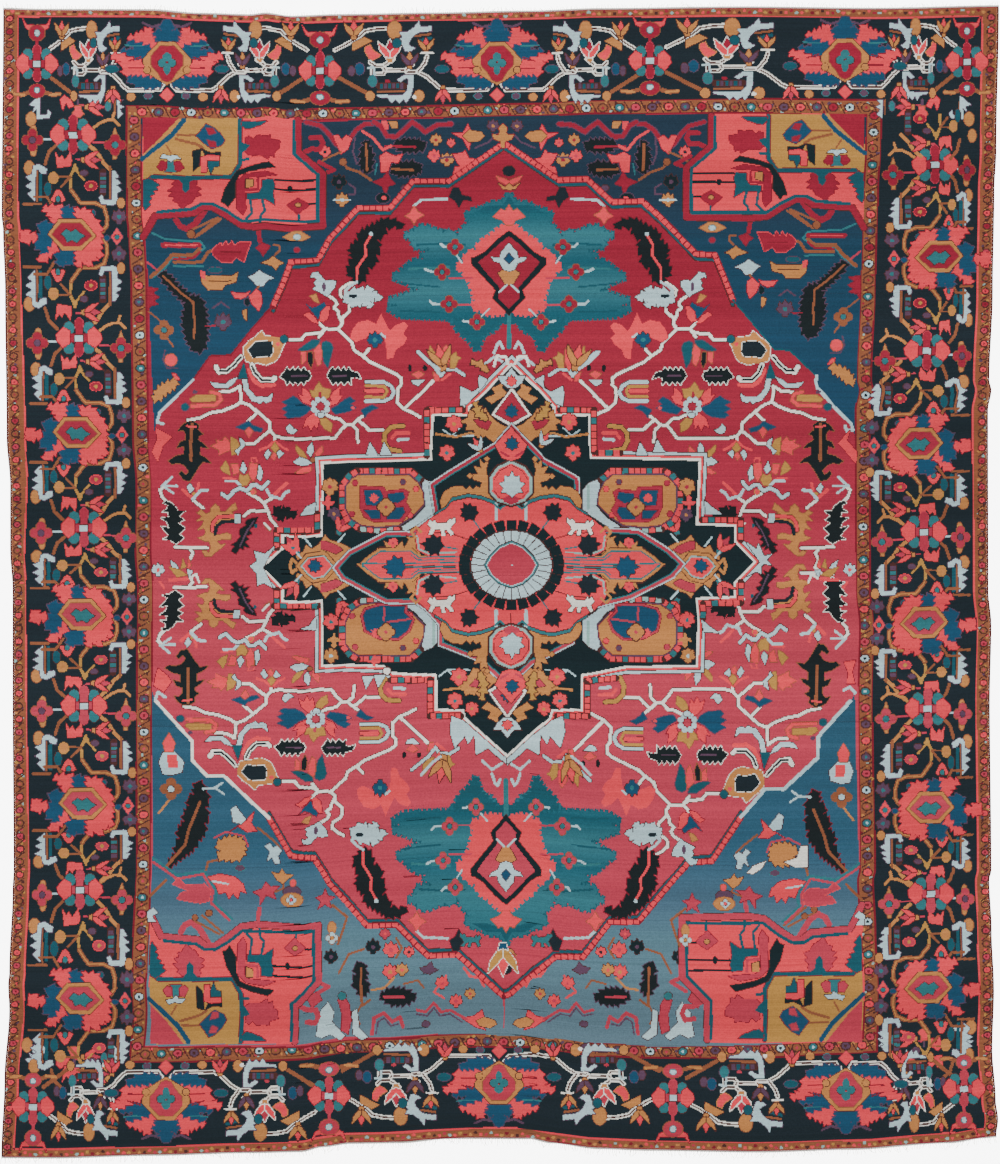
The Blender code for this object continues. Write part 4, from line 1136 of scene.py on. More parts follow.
# The bands that wind over the blue below a corner frame, from the frame's own corner.
ARABESQUE = (
    ("line", "teal", 2.0, ((9, 115), (22, 121), (57, 123), (62, 130), (48, 140), (30, 139), (22, 150),
        (9, 160))),
    ("line", "crimson", 5.2, ((20, 127), (56, 127))), ("line", "coral", 1.4, ((22, 127), (54, 127))),
    ("line", "rust", 3.6, ((57, 131), (50, 137), (29, 137), (22, 146), (8, 159))),
    ("line", "crimson", 2.2, ((57, 134), (50, 140), (31, 141))),
    ("line", "rose", 2.0, ((4, 144), (14, 152))),
    ("line", "rust", 3.0, ((31, 144), (59, 144), (65, 134), (72, 132))),
    ("line", "teal", 2.0, ((31, 148), (60, 148))),
    ("area", "crimson", "coral", ((69, 133), (73, 128), (78, 125), (79, 129), (83, 123), (85, 128),
        (89, 123), (91, 128), (97, 124), (108, 124), (104, 134), (101, 144), (93, 139), (89, 144),
        (79, 144), (71, 138))),
    ("line", "oxblood", 1.6, ((78, 134), (98, 134))), ("line", "rust", 2.6, ((75, 100), (52, 119))),
    ("disc", "rust", "brown", (48, 116, 4, 4)),
    ("area", "gold", "brown", ((57, 154), (64, 158), (89, 158), (95, 154), (93, 164), (82, 167), (79, 172),
        (65, 172), (59, 165))),
    ("area", "coral", None, ((57, 152), (62, 154), (63, 162), (58, 160))),
    ("line", "brown", 1.0, ((66, 163), (88, 163))), ("tuft", "violet", "teal", (80, 204, 17, 0)),
    ("disc", "deep teal", "violet", (72, 152, 7, 3)),
)


def draw_halves(rows, x, y, across, down):
    """A motif given as its left half, drawn row by row on both sides of its middle line."""
    for row in rows:
        for side in (1.0, -1.0):
            draw_plan([whole(row)], carried(x, y, side * across, down))


UPPER_TIP = (509.0, 193.0)
LOWER_TIP = (506.0, 945.0)


def draw_pendants():
    """The teal pendants, each from its tip, with two beasts and a lily in the lower one."""
    draw_halves(PENDANT, *UPPER_TIP, 1.0, 1.0)
    draw_halves(PENDANT, *LOWER_TIP, 0.94, -1.07)
    for side in (1.0, -1.0):
        shape(laid(BEAST, 506 - 35 * side, 940, 17, 0, -side), "teal", "brown", 0.7)
    lily(503, 958, 30, 180, "ochre", "coral", "blue", "cream")


MEDALLION_LEFT = (
    (511.5, 363), (468, 407), (468, 414), (432, 414), (430, 458), (396, 460), (321, 462), (320.5, 534.5),
    (281.5, 534.5), (281.5, 548), (260, 568), (281.5, 589), (281.5, 602), (321, 602), (321, 667), (383, 667),
    (392, 674), (435, 676), (435, 711), (462, 711.5), (464, 719), (507.4, 757.5),
)
MEDALLION_RIGHT = (
    (511.5, 363), (555, 406), (555, 414), (590, 414), (592, 457), (622.5, 457), (701, 458.6), (698, 523),
    (736, 524.6), (736, 541), (756.5, 562), (736, 583), (736, 598), (698, 599.6), (698, 667), (626, 668),
    (583, 676), (583, 711), (553, 711.5), (551, 719), (507.4, 757.5),
)
STAR_LEFT = (
    (511.5, 427), (496, 445), (450, 473), (432, 485), (437, 515), (411, 534), (386, 534), (350, 553),
    (336, 568), (343, 578), (386, 601), (416, 601), (426, 607.5), (441, 624), (441, 644),
    (480.6, 659.5), (508, 685.5),
)
STAR_RIGHT = (
    (511.5, 427), (528, 444), (544, 461), (576.5, 479), (578, 511), (599.5, 530), (638, 532), (668, 551),
    (682, 564), (672, 576), (630, 597), (594, 606), (575, 619), (572, 642), (532, 662), (508, 685.5),
)


def flames(points):
    shape(points, "ice", "brown", 0.8)


def draw_flames():
    flames((
        (275, 546), (265, 554), (254, 551), (257, 561), (250, 566), (257, 574), (257, 586), (263, 583),
        (273, 588), (263, 568),
    ))
    flames((
        (746, 542), (756.5, 549), (758.6, 543.5), (764, 556), (772, 554), (767, 560), (771, 565),
        (764, 564), (761, 567), (761, 574), (756, 571.6), (747, 576.5), (760, 562),
    ))
    flames((
        (451.5, 716), (450, 732), (454.6, 748), (465, 736), (468, 744), (474.5, 734.5), (476, 755),
        (488, 748), (499, 758), (507, 764), (507, 759), (464, 721),
    ))
    flames((
        (563, 716), (565, 732), (560.4, 748), (550, 736), (547, 744), (540.5, 734.5), (539, 755),
        (527, 748), (516, 758), (507, 764), (507, 759), (551, 721),
    ))
    flames(((535, 380), (544, 375), (544, 388), (551, 392), (563, 386), (563, 406), (556, 404)))
    flames(((488, 380), (479, 375), (479, 388), (472, 392), (460, 386), (460, 406), (467, 404)))
    for x, y in ((372, 450), (386, 450), (642, 450), (659, 447)):
        flames(((x - 6, y + 5), (x - 2, y - 8), (x + 6, y + 5)))
    for x, y in ((368, 681), (380, 680)):
        flames(((x - 6, y - 5), (x - 2, y + 8), (x + 6, y - 5)))
    disc(387, 671, 3.6, "cream", "brown")
    for points in (
        ((300, 516), (306, 507), (316, 502), (314, 514)), ((300, 629), (309, 626), (317, 615), (316, 630)),
        ((722, 514), (712, 507), (704, 500), (706, 514)), ((701, 619), (709, 626), (719, 633), (704, 632)),
    ):
        flames(points)
    for curl in (
        ((494, 366), (497, 356), (506, 357), (508, 364)),
        ((529, 366), (526, 356), (518, 357), (515, 364)),
    ):
        stroke(curl, "cream", 2.8)
    for x, side in ((488, -1.0), (535, 1.0)):
        leaf(((x, 372), (x + 8 * side, 364), (x + 17 * side, 362)), 9, "gold")


def set_out(points, distance):
    """A closed outline moved out by this much, or in where it is negative, its corners kept sharp."""
    points = np.asarray(points, float)
    ahead = np.roll(points, -1, axis=0) - points
    ahead /= np.hypot(*ahead.T)[:, None]
    normal = np.stack([ahead[:, 1], -ahead[:, 0]], axis=1)
    area = (points[:, 0] * np.roll(points[:, 1], -1) - np.roll(points[:, 0], -1) * points[:, 1]).sum()
    normal *= math.copysign(1.0, area)
    behind = np.roll(normal, 1, axis=0)
    spread = 1.0 + (normal * behind).sum(axis=1)
    return points + distance * (normal + behind) / np.maximum(spread, 0.35)[:, None]


HEART_X, HEART_Y = 511.0, 565.0
ARM_MIDDLE = 566.5


def about_heart(across, down):
    """A put for the medallion: places of its upper left quarter mirrored to another quarter."""
    def put(points):
        return [(HEART_X + (x - HEART_X) * across, HEART_Y + (y - HEART_Y) * down) for x, y in points]
    return put


ALL_QUARTERS = [about_heart(across, down) for across in (1.0, -1.0) for down in (1.0, -1.0)]


def four(points, wool, rim=None, rim_width=0.8):
    """An outline of the upper left quarter, drawn in all four quarters of the medallion."""
    for put in ALL_QUARTERS:
        shape(put(points), wool, rim, rim_width)


def four_lines(points, wool, width):
    for put in ALL_QUARTERS:
        stroke(put(points), wool, width)


# One quarter of the medallion's star, the upper left one.
OCHRE_WING = (
    (499, 503), (489, 494), (488, 479), (486, 470), (489, 459), (484, 464), (480, 459), (481, 468),
    (474, 466), (478, 474), (470, 474), (474, 480), (482, 482), (480, 488), (476, 486), (473, 490),
    (470, 486), (466, 490), (462, 486), (452, 487), (444, 492), (440, 501), (442, 509), (446, 509),
    (448, 502), (453, 497), (468, 494), (482, 497), (492, 501),
)
CORAL_FLOWER = (
    (511, 500), (500, 508), (492, 504), (481, 500), (468, 498), (452, 502), (446, 509), (438, 514),
    (428, 520), (419, 528), (415, 536), (417, 550), (428, 556), (455, 557), (511, 568),
)
LONG_PETAL = ((511, 558), (418, 558), (411, 552), (381, 552), (372, 558), (363, 566), (511, 566))
LONG_PETAL_RIM = ((455, 556), (421, 556), (412, 548), (380, 548), (368, 556), (357, 566), (511, 566))
ARM_WING = (
    (372, 553), (380, 547), (386, 547), (384, 541), (390, 545), (394, 540), (396, 547), (402, 541),
    (404, 548), (409, 540), (406, 536), (412, 538), (418, 534), (421, 538), (416, 543), (419, 552),
    (422, 558), (412, 551), (382, 550),
)
HEXAGON_WING = (
    (297, 560), (296, 554), (303, 552), (306, 545), (312, 549), (318, 545), (322, 540), (325, 535),
    (330, 540), (340, 543), (352, 549), (343, 556), (336, 565), (326, 553), (307, 555),
)
POINT_RING = (
    (511, 462), (524, 468), (531, 478), (531, 492), (524, 500), (511, 504), (498, 500), (491, 492),
    (491, 478), (498, 468),
)
POINT_DISC = (
    (511, 465), (522, 471), (528, 480), (528, 490), (522, 498), (511, 501), (500, 498), (494, 490),
    (494, 480), (500, 471),
)
STAR_RIB = ((498, 504), (492, 501.5), (481, 497.5), (468, 495.5), (453, 499), (447, 508), (436, 514))
QUARTER_LEAF = (
    (0.0, 0.5), (-0.2, 0.32), (-0.42, 0.3), (-0.34, 0.12), (-0.5, -0.06), (-0.3, -0.14), (-0.28, -0.36),
    (-0.1, -0.32), (0.0, -0.56), (0.1, -0.32), (0.28, -0.36), (0.3, -0.14), (0.5, -0.06), (0.34, 0.12),
    (0.42, 0.3), (0.2, 0.32),
)


def quarter_leaf(x, y, size, turn, wool="blue", rim="brown"):
    shape(laid(QUARTER_LEAF, x, y, size, turn), wool, rim, 0.7)


def ground_in_rims(outline, rims):
    """The same outline filled again and again, each time set out less, or in."""
    for distance, wool in rims:
        fill(set_out(outline, distance), wool)


def draw_star():
    """The star in the middle of the medallion, with the wings, petals and small beasts on its arms."""
    outline = STAR_LEFT[::-1] + STAR_RIGHT[1:-1]
    ground_in_rims(outline, ((3.6, "brown"), (3.0, "ice"), (1.7, "crimson"), (-1.4, "teal"), (-2.8, "ink")))
    four(OCHRE_WING, "gold", "brown")
    four(ARM_WING, "gold", "brown")
    four(LONG_PETAL_RIM, "gold", "brown", 0.6)
    for wool, width in (("brown", 4.6), ("teal", 2.8)):
        four_lines(STAR_RIB, wool, width)
    four(CORAL_FLOWER, "coral", "brown", 0.7)
    four(LONG_PETAL, "coral", "teal", 1.4)
    four_lines(((456, 560), (418, 560), (411, 555)), "teal", 1.3)
    four_lines(((480, 529), (474, 521), (470, 512)), "teal", 1.6)
    four_lines(((457, 549), (446, 547), (434, 546)), "teal", 1.6)
    four_lines(((470, 540), (452, 534), (430, 532)), "brown", 1.0)
    four_lines(((417, 536), (419, 549), (430, 554), (456, 552)), "sage", 1.8)
    four_lines(((416, 538), (411, 532), (416, 527), (421, 532)), "gold", 2.4)
    four_lines(((496, 504), (496, 519)), "ice", 3.4)
    four_lines(((494, 504), (500, 509), (505, 505)), "teal", 2.0)
    for across in (1.0, -1.0):
        quarter_leaf(HEART_X - 116 * across, 567, 23, -90 * across, "blue")
        for wool, width in (("brown", 2.6), ("teal", 1.4)):
            stroke(((HEART_X - 105 * across, 567), (HEART_X - 56 * across, 567)), wool, width)
        for down in (1.0, -1.0):
            for aside, above, size, lean in ((42, 53, 19, 32), (78, 20, 22, 84)):
                turn = -lean * across if down > 0 else 180 + lean * across
                quarter_leaf(HEART_X - aside * across, HEART_Y - above * down, size, turn, "navy")
            beast = laid(BEAST, HEART_X - 70 * across, HEART_Y - 38.5 * down, 22, 0, across)
            shape(beast, "cream", "brown", 0.7)
            ragged(HEART_X - 118 * across, HEART_Y - 22 * down, 10, "coral", "crimson")
            for px, py in ((24, 106), (41, 89)):
                shape(oval(HEART_X - px * across, HEART_Y - py * down, 3.0, 3.0, 4), "gold", "brown", 0.5)
    for down in (1.0, -1.0):
        put = about_heart(1.0, down)
        shape(put(POINT_RING), "coral", "brown", 3.4)
        stroke(put(POINT_RING + (POINT_RING[0],)), "sage", 2.6)
        shape(put(POINT_DISC), "coral", "brown", 0.7)
        fill(put(((504, 502), (504, 498), (511, 494), (519, 498), (519, 502), (511, 505))), "crimson")
        quarter_leaf(512, HEART_Y - 80 * down, 25, 0 if down > 0 else 180, "ice")
        bud = ((511, 427), (527, 445), (520, 458), (511, 461), (502, 458), (495, 445))
        shape(put(bud), "coral", "brown", 0.8)
        quarter_leaf(512, HEART_Y - 121.5 * down, 14, 0 if down > 0 else 180, "blue")
        for side in (-1.0, 1.0):
            stroke(put(((512 + 4 * side, 456), (512 + 11 * side, 452))), "crimson", 2.4)


def draw_centre():
    """The innermost flower: a rayed white ring round a crimson diamond, in a ring of black blocks."""
    x, y = 511.5, 565
    block_shape = ((-0.56, -0.46), (0.56, -0.52), (0.56, 0.52), (-0.56, 0.46))
    count = 26
    for block in range(count):
        angle = math.tau * (block + 0.5) / count
        across, down = 47.0 * math.cos(angle), 39.5 * math.sin(angle)
        turn = math.degrees(math.atan2(down, across))
        shape(laid(block_shape, x + across, y + down, 9.4, turn), "ink", "brown", 0.4)
    disc(x, y, 40.5, "ice", "brown", 34.5)
    for ray in range(28):
        across, down = math.cos(math.tau * ray / 28), math.sin(math.tau * ray / 28)
        stroke(((x + 27 * across, y + 23 * down), (x + 40 * across, y + 34 * down)), "brown", 1.0)
    rounded = [(x + across, y + down) for across, down in (
        (0, -24), (12, -19), (22, -9), (27, 0), (22, 10), (12, 19), (0, 23), (-12, 19), (-22, 10), (-27, 0),
        (-22, -9), (-12, -19),
    )]
    shape(rounded, "teal", "brown", 0.9)
    shape([(x + (px - x) * 0.9, y + (py - y) * 0.9) for px, py in rounded], "crimson", "ice", 0.8)
    stroke(((x, y), (x + 1, y)), "ice", 1.0)


def cartouche(across, down):
    """A corner flower of the medallion: a ladder rim round an ochre ring, with petals and a gold flower."""
    put = about_heart(across, down)
    rim = (
        (357, 471), (411, 471), (421, 480), (427, 492), (428, 506), (415, 519), (400, 529), (378, 531),
        (360, 529), (348, 521), (342, 509), (342, 485), (349, 476),
    )
    wedge = (
        (421, 478), (433, 483), (439, 490), (439, 510), (420, 523), (404, 532), (380, 533), (400, 528),
        (415, 518), (426, 506),
    )
    shape(put(wedge), "ice", "brown", 0.8)
    stroke(put(((434, 486), (434, 508))), "sage", 3.0)
    ladder(put(rim[:3]), ("coral", "coral", "teal", "coral"), 5.4, 6.4, "brown")
    ladder(put(rim[8:] + rim[:1]), ("coral", "teal", "coral", "coral"), 5.4, 6.4, "brown")
    ladder(put(rim[6:9]), ("coral", "sage"), 4.4, 7.0, "brown")
    fill(put(set_out(rim, -2.6)), "violet")
    shape(put(set_out(rim, -4.4)), "gold", "oxblood", 0.5)
    for x, y, wool in (
        (355, 483, "crimson"), (416, 489, "coral"), (403, 482, "violet"), (352, 514, "crimson"),
        (410, 515, "coral"),
    ):
        shape(put(oval(x, y, 3.0, 3.0, 6)), wool, "oxblood", 0.6)
    if down > 0:
        heart = (
            (360, 486), (384, 487), (386, 491), (404, 489), (409, 492), (406, 502), (411, 510),
            (402, 522), (374, 522), (364, 517), (360, 508),
        )
        petals = (
            ((364, 490), (380, 490), (383, 496), (381, 506), (366, 505)),
            ((388, 494), (403, 492), (405, 498), (398, 503), (388, 502)),
            ((364, 510), (380, 510), (380, 519), (372, 519)),
            ((386, 509), (403, 507), (405, 512), (400, 519), (387, 519)),
        )
        for points, wool in zip((heart,) + petals, ("crimson", "blue", "blue", "blue", "blue")):
            shape(put(points), wool, "oxblood", 0.6)
        quarter_leaf(*put([(374, 498)])[0], 10, 0, "coral", None)
    else:
        heart = (
            (363, 514), (366, 500), (380, 493), (398, 492), (408, 500), (412, 510), (404, 518),
            (405, 524), (380, 524), (366, 520),
        )
        shape(put(set_out(heart, 2.4)), "crimson", "oxblood", 0.6)
        shape(put(heart), "blue", "oxblood", 0.6)
        for gap in (((384, 510), (384, 522)), ((388, 508), (410, 511))):
            stroke(put(gap), "crimson", 2.0)
        quarter_leaf(*put([(376, 497)])[0], 11, -60, "coral", None)
    flower_x, flower_y = put([(386, 507 if down > 0 else 498)])[0]
    cross_flower(flower_x, flower_y, 15, "gold", "crimson", "brown", 0.0)
    cross_flower(flower_x, flower_y, 13, "gold", "crimson", None, 45.0)


def draw_medallion_ground():
    """The stepped medallion in its rims, with the ladder bands along some of its steps."""
    outline = MEDALLION_LEFT[::-1] + MEDALLION_RIGHT[1:-1]
    ground_in_rims(outline, (
        (6.4, "brown"), (5.6, "ice"), (2.9, "brown"), (2.3, "coral"), (0.2, "cream"), (-2.2, "ink"),
    ))
    for path in (
        ((277, 531), (277, 548)), ((277, 590), (277, 606)), ((274, 606), (318, 606)),
        ((391, 680), (431, 680)), ((430, 680), (430, 716)), ((430, 716), (461, 716)),
        ((277, 530), (318, 530)), ((317, 514), (317, 530)), ((560, 410), (594, 410)),
        ((594, 410), (594, 452)), ((598, 453), (620, 453)), ((702, 520), (740, 520)),
        ((741, 520), (741, 540)), ((741, 582), (741, 602)), ((704, 603), (740, 603)),
        ((703, 604), (703, 618)), ((586, 681), (616, 678)), ((587, 684), (587, 716)),
        ((557, 716), (588, 716)), ((463, 410), (428, 410)), ((427, 410), (427, 456)),
    ):
        ladder(path, ("coral", "teal", "coral", "coral", "coral"), 5.2, 6.6, "brown")


def arm_end(tip_x, side):
    """The hexagon and leaves in one side arm of the medallion; side is 1 where the arm points right."""
    def put(points, up=1.0):
        return [(tip_x - (x - 262) * side, ARM_MIDDLE + (y - ARM_MIDDLE) * up) for x, y in points]

    for up in (1.0, -1.0):
        shape(put(HEXAGON_WING, up), "gold", "brown", 0.8)
        patch = ((321, 541), (326, 541), (338, 546), (343, 550), (336, 554), (328, 551), (321, 549))
        shape(put(patch, up), "crimson", "brown", 0.6)
        for place, turn in (((293, 546), -35), ((342, 526), 25)):
            x, y = put([place], up)[0]
            lily(x, y, 19, -turn * side if up > 0 else 180 + turn * side, "coral", "crimson", "teal")
        for stem in (((304, 537), (311, 546)), ((296, 552), (301, 558)), ((345, 534), (338, 542))):
            stroke(put(stem, up), "ice", 1.8)
    stroke(put(((300, 566), (292, 559), (290, 566), (292, 573), (300, 566))), "gold", 3.0)
    hexagon = ((296, 566), (306, 554), (326, 552), (338, 566), (326, 580), (313, 583), (305, 577))
    shape(put(hexagon), "gold", "brown", 0.9)
    shape(put(set_out(hexagon, -3.4)), "sage", "brown", 0.5)
    fill(put(set_out(hexagon, -4.8)), "coral")
    quarter_leaf(*put([(315, 566)])[0], 14, -90 * side if side < 0 else 90, "blue")
    shape(put(((337, 566), (350, 556), (363, 566), (350, 578))), "crimson", "sage", 1.2)
    for up in (1.0, -1.0):
        stroke(put(((360, 564), (355, 560), (351, 564), (355, 566)), up), "gold", 2.0)


def draw_axis_ends():
    """The palmettes at the upper and lower points of the medallion."""
    for middle, base, down in ((511.5, 400, 1.0), (507.4, 706, -1.0)):
        for side in (-1.0, 1.0):
            put = carried(middle, base, side, down)
            wing = (
                (2, 28), (12, 24), (22, 15), (26, 8), (34, 14), (42, 10), (44, 18), (52, 22), (44, 24),
                (46, 30), (38, 30), (34, 38), (26, 36), (18, 42), (8, 32),
            )
            shape(put(wing), "gold", "brown", 0.8)
            shape(put(((20, 22), (28, 18), (38, 20), (32, 27), (24, 30))), "crimson", "brown", 0.6)
            upper = ((4, -6), (10, -12), (8, -18), (14, -14), (20, -12), (16, -6), (26, -2), (20, 4), (14, 0))
            shape(put(upper), "gold", "brown", 0.7)
            stroke(put(((38, 36), (60, 36))), "ice", 1.6)
            stroke(put(((52, 28), (60, 36), (68, 30))), "ice", 1.6)
        diamond = ((0, -13), (20, 15), (0, 27), (-20, 15))
        shape(put(diamond), "cream", "brown", 1.0)
        shape(put(((0, -8), (16, 14), (0, 23), (-16, 14))), "crimson", "brown", 0.6)
        quarter_leaf(middle, base + 11 * down, 14, 0 if down > 0 else 180, "blue")
        crown = (
            (0, -32), (6, -24), (14, -24), (10, -17), (4, -12), (-4, -12), (-10, -17), (-14, -24),
            (-6, -24),
        )
        shape(put(crown), "ice", "brown", 0.8)
        quarter_leaf(middle, base - 19 * down, 11, 0 if down > 0 else 180, "coral", "brown")


def draw_medallion():
    draw_medallion_ground()
    draw_flames()
    arm_end(262, -1.0)
    arm_end(754, 1.0)
    for across in (1.0, -1.0):
        for down in (1.0, -1.0):
            cartouche(across, down)
    draw_axis_ends()
    draw_star()
    draw_centre()
    for draw, *places in MEDALLION_MOTIFS:
        draw(*places)


MEDALLION_MOTIFS = (
    (ragged, 330, 487, 16, "gold", "crimson", "brown"),
    (trefoil, 328, 503, 14, 0, "coral"),
    (ragged, 334, 514, 13, "violet", "gold"),
    (ragged, 293, 548, 14, "coral", "teal"),
    (ragged, 331, 622, 15, "coral", "teal", "brown"),
    (trefoil, 334, 640, 14, 180, "gold"),
    (ragged, 331, 656, 14, "gold", "ice", "brown"),
    (trefoil, 374, 661, 12, 90, "coral"),
    (ragged, 687, 487, 16, "gold", "crimson", "brown"),
    (trefoil, 689, 503, 14, 0, "coral"),
    (ragged, 686, 515, 13, "violet", "gold"),
    (ragged, 687, 620, 15, "coral", "teal", "brown"),
    (trefoil, 685, 640, 14, 180, "gold"),
    (ragged, 688, 656, 14, "gold", "ice", "brown"),
    (ragged, 569, 422, 16, "coral", "gold", "brown"),
    (ragged, 454, 424, 16, "coral", "gold", "brown"),
    (ragged, 573, 453, 15, "coral", "teal", "brown"),
    (ragged, 447, 453, 15, "coral", "teal", "brown"),
    (stroke, ((540, 436), (553, 433), (566, 437), (588, 434)), "gold", 2.4),
    (stroke, ((483, 436), (470, 433), (456, 437), (436, 434)), "gold", 2.4),
    (leaf, ((536, 420), (545, 412), (548, 402)), 11, "ochre"),
    (leaf, ((487, 420), (478, 412), (475, 402)), 11, "ochre"),
    (lily, 544, 441, 15, 30, "ice", "coral", "gold"),
    (lily, 478, 446, 15, -30, "ice", "coral", "gold"),
    (ragged, 459, 677, 16, "coral", "gold", "brown"),
    (ragged, 455, 701, 15, "coral", "teal", "brown"),
    (ragged, 472, 709, 13, "coral", "gold", "brown"),
    (leaf, ((480, 672), (484, 686), (482, 700)), 11, "ochre"),
    (stroke, ((444, 690), (460, 688), (474, 694)), "gold", 2.4),
    (ragged, 557, 677, 16, "coral", "gold", "brown"),
    (ragged, 560, 701, 15, "coral", "teal", "brown"),
    (ragged, 544, 709, 13, "coral", "gold", "brown"),
    (leaf, ((535, 672), (531, 686), (533, 700)), 11, "ochre"),
    (stroke, ((572, 690), (556, 688), (542, 694)), "gold", 2.4),
)


# The field's vines and flowers, all as they lie in its upper left quarter.
FIELD_STEMS = (
    ((289, 340), (301, 340), (306, 334), (320, 333), (325, 329), (338, 329), (352, 343), (354, 350),
        (364, 357), (370, 362), (396, 374), (401, 378), (401, 385), (398, 388), (397, 402), (404, 409),
        (413, 413), (420, 417)),
    ((405, 408), (418, 396), (433, 381)), ((319, 323), (325, 329), (319, 337)), ((363, 356), (369, 349)),
    ((338, 329), (342, 324), (342, 318), (349, 312), (350, 306), (348, 301), (341, 296), (340, 290),
        (346, 285), (352, 282)),
    ((342, 322), (339, 316), (338, 311), (334, 308), (337, 304), (335, 300), (329, 296), (326, 293)),
    ((327, 415), (333, 418), (340, 419), (346, 425), (352, 425), (356, 421), (360, 418), (363, 416)),
    ((352, 425), (357, 430), (358, 442)), ((358, 420), (364, 425), (369, 430), (383, 430)),
    ((346, 425), (341, 430), (335, 438), (283, 438), (275, 436), (270, 430), (270, 423), (258, 412),
        (249, 405), (241, 402), (240, 386), (232, 391), (220, 392)),
    ((241, 402), (235, 406), (222, 411), (210, 413), (200, 418), (188, 420)), ((258, 412), (248, 421)),
    ((270, 431), (262, 437), (254, 444), (245, 444)), ((275, 436), (275, 441)),
    ((166, 501), (162, 497), (160, 490), (165, 486)), ((203, 508), (193, 500)),
    ((244, 516), (250, 511), (268, 511), (264, 503), (256, 497), (248, 493)), ((264, 503), (272, 498)),
    ((268, 511), (270, 518), (277, 527)), ((175, 547), (207, 548)), ((190, 549), (193, 553), (190, 559)),
)
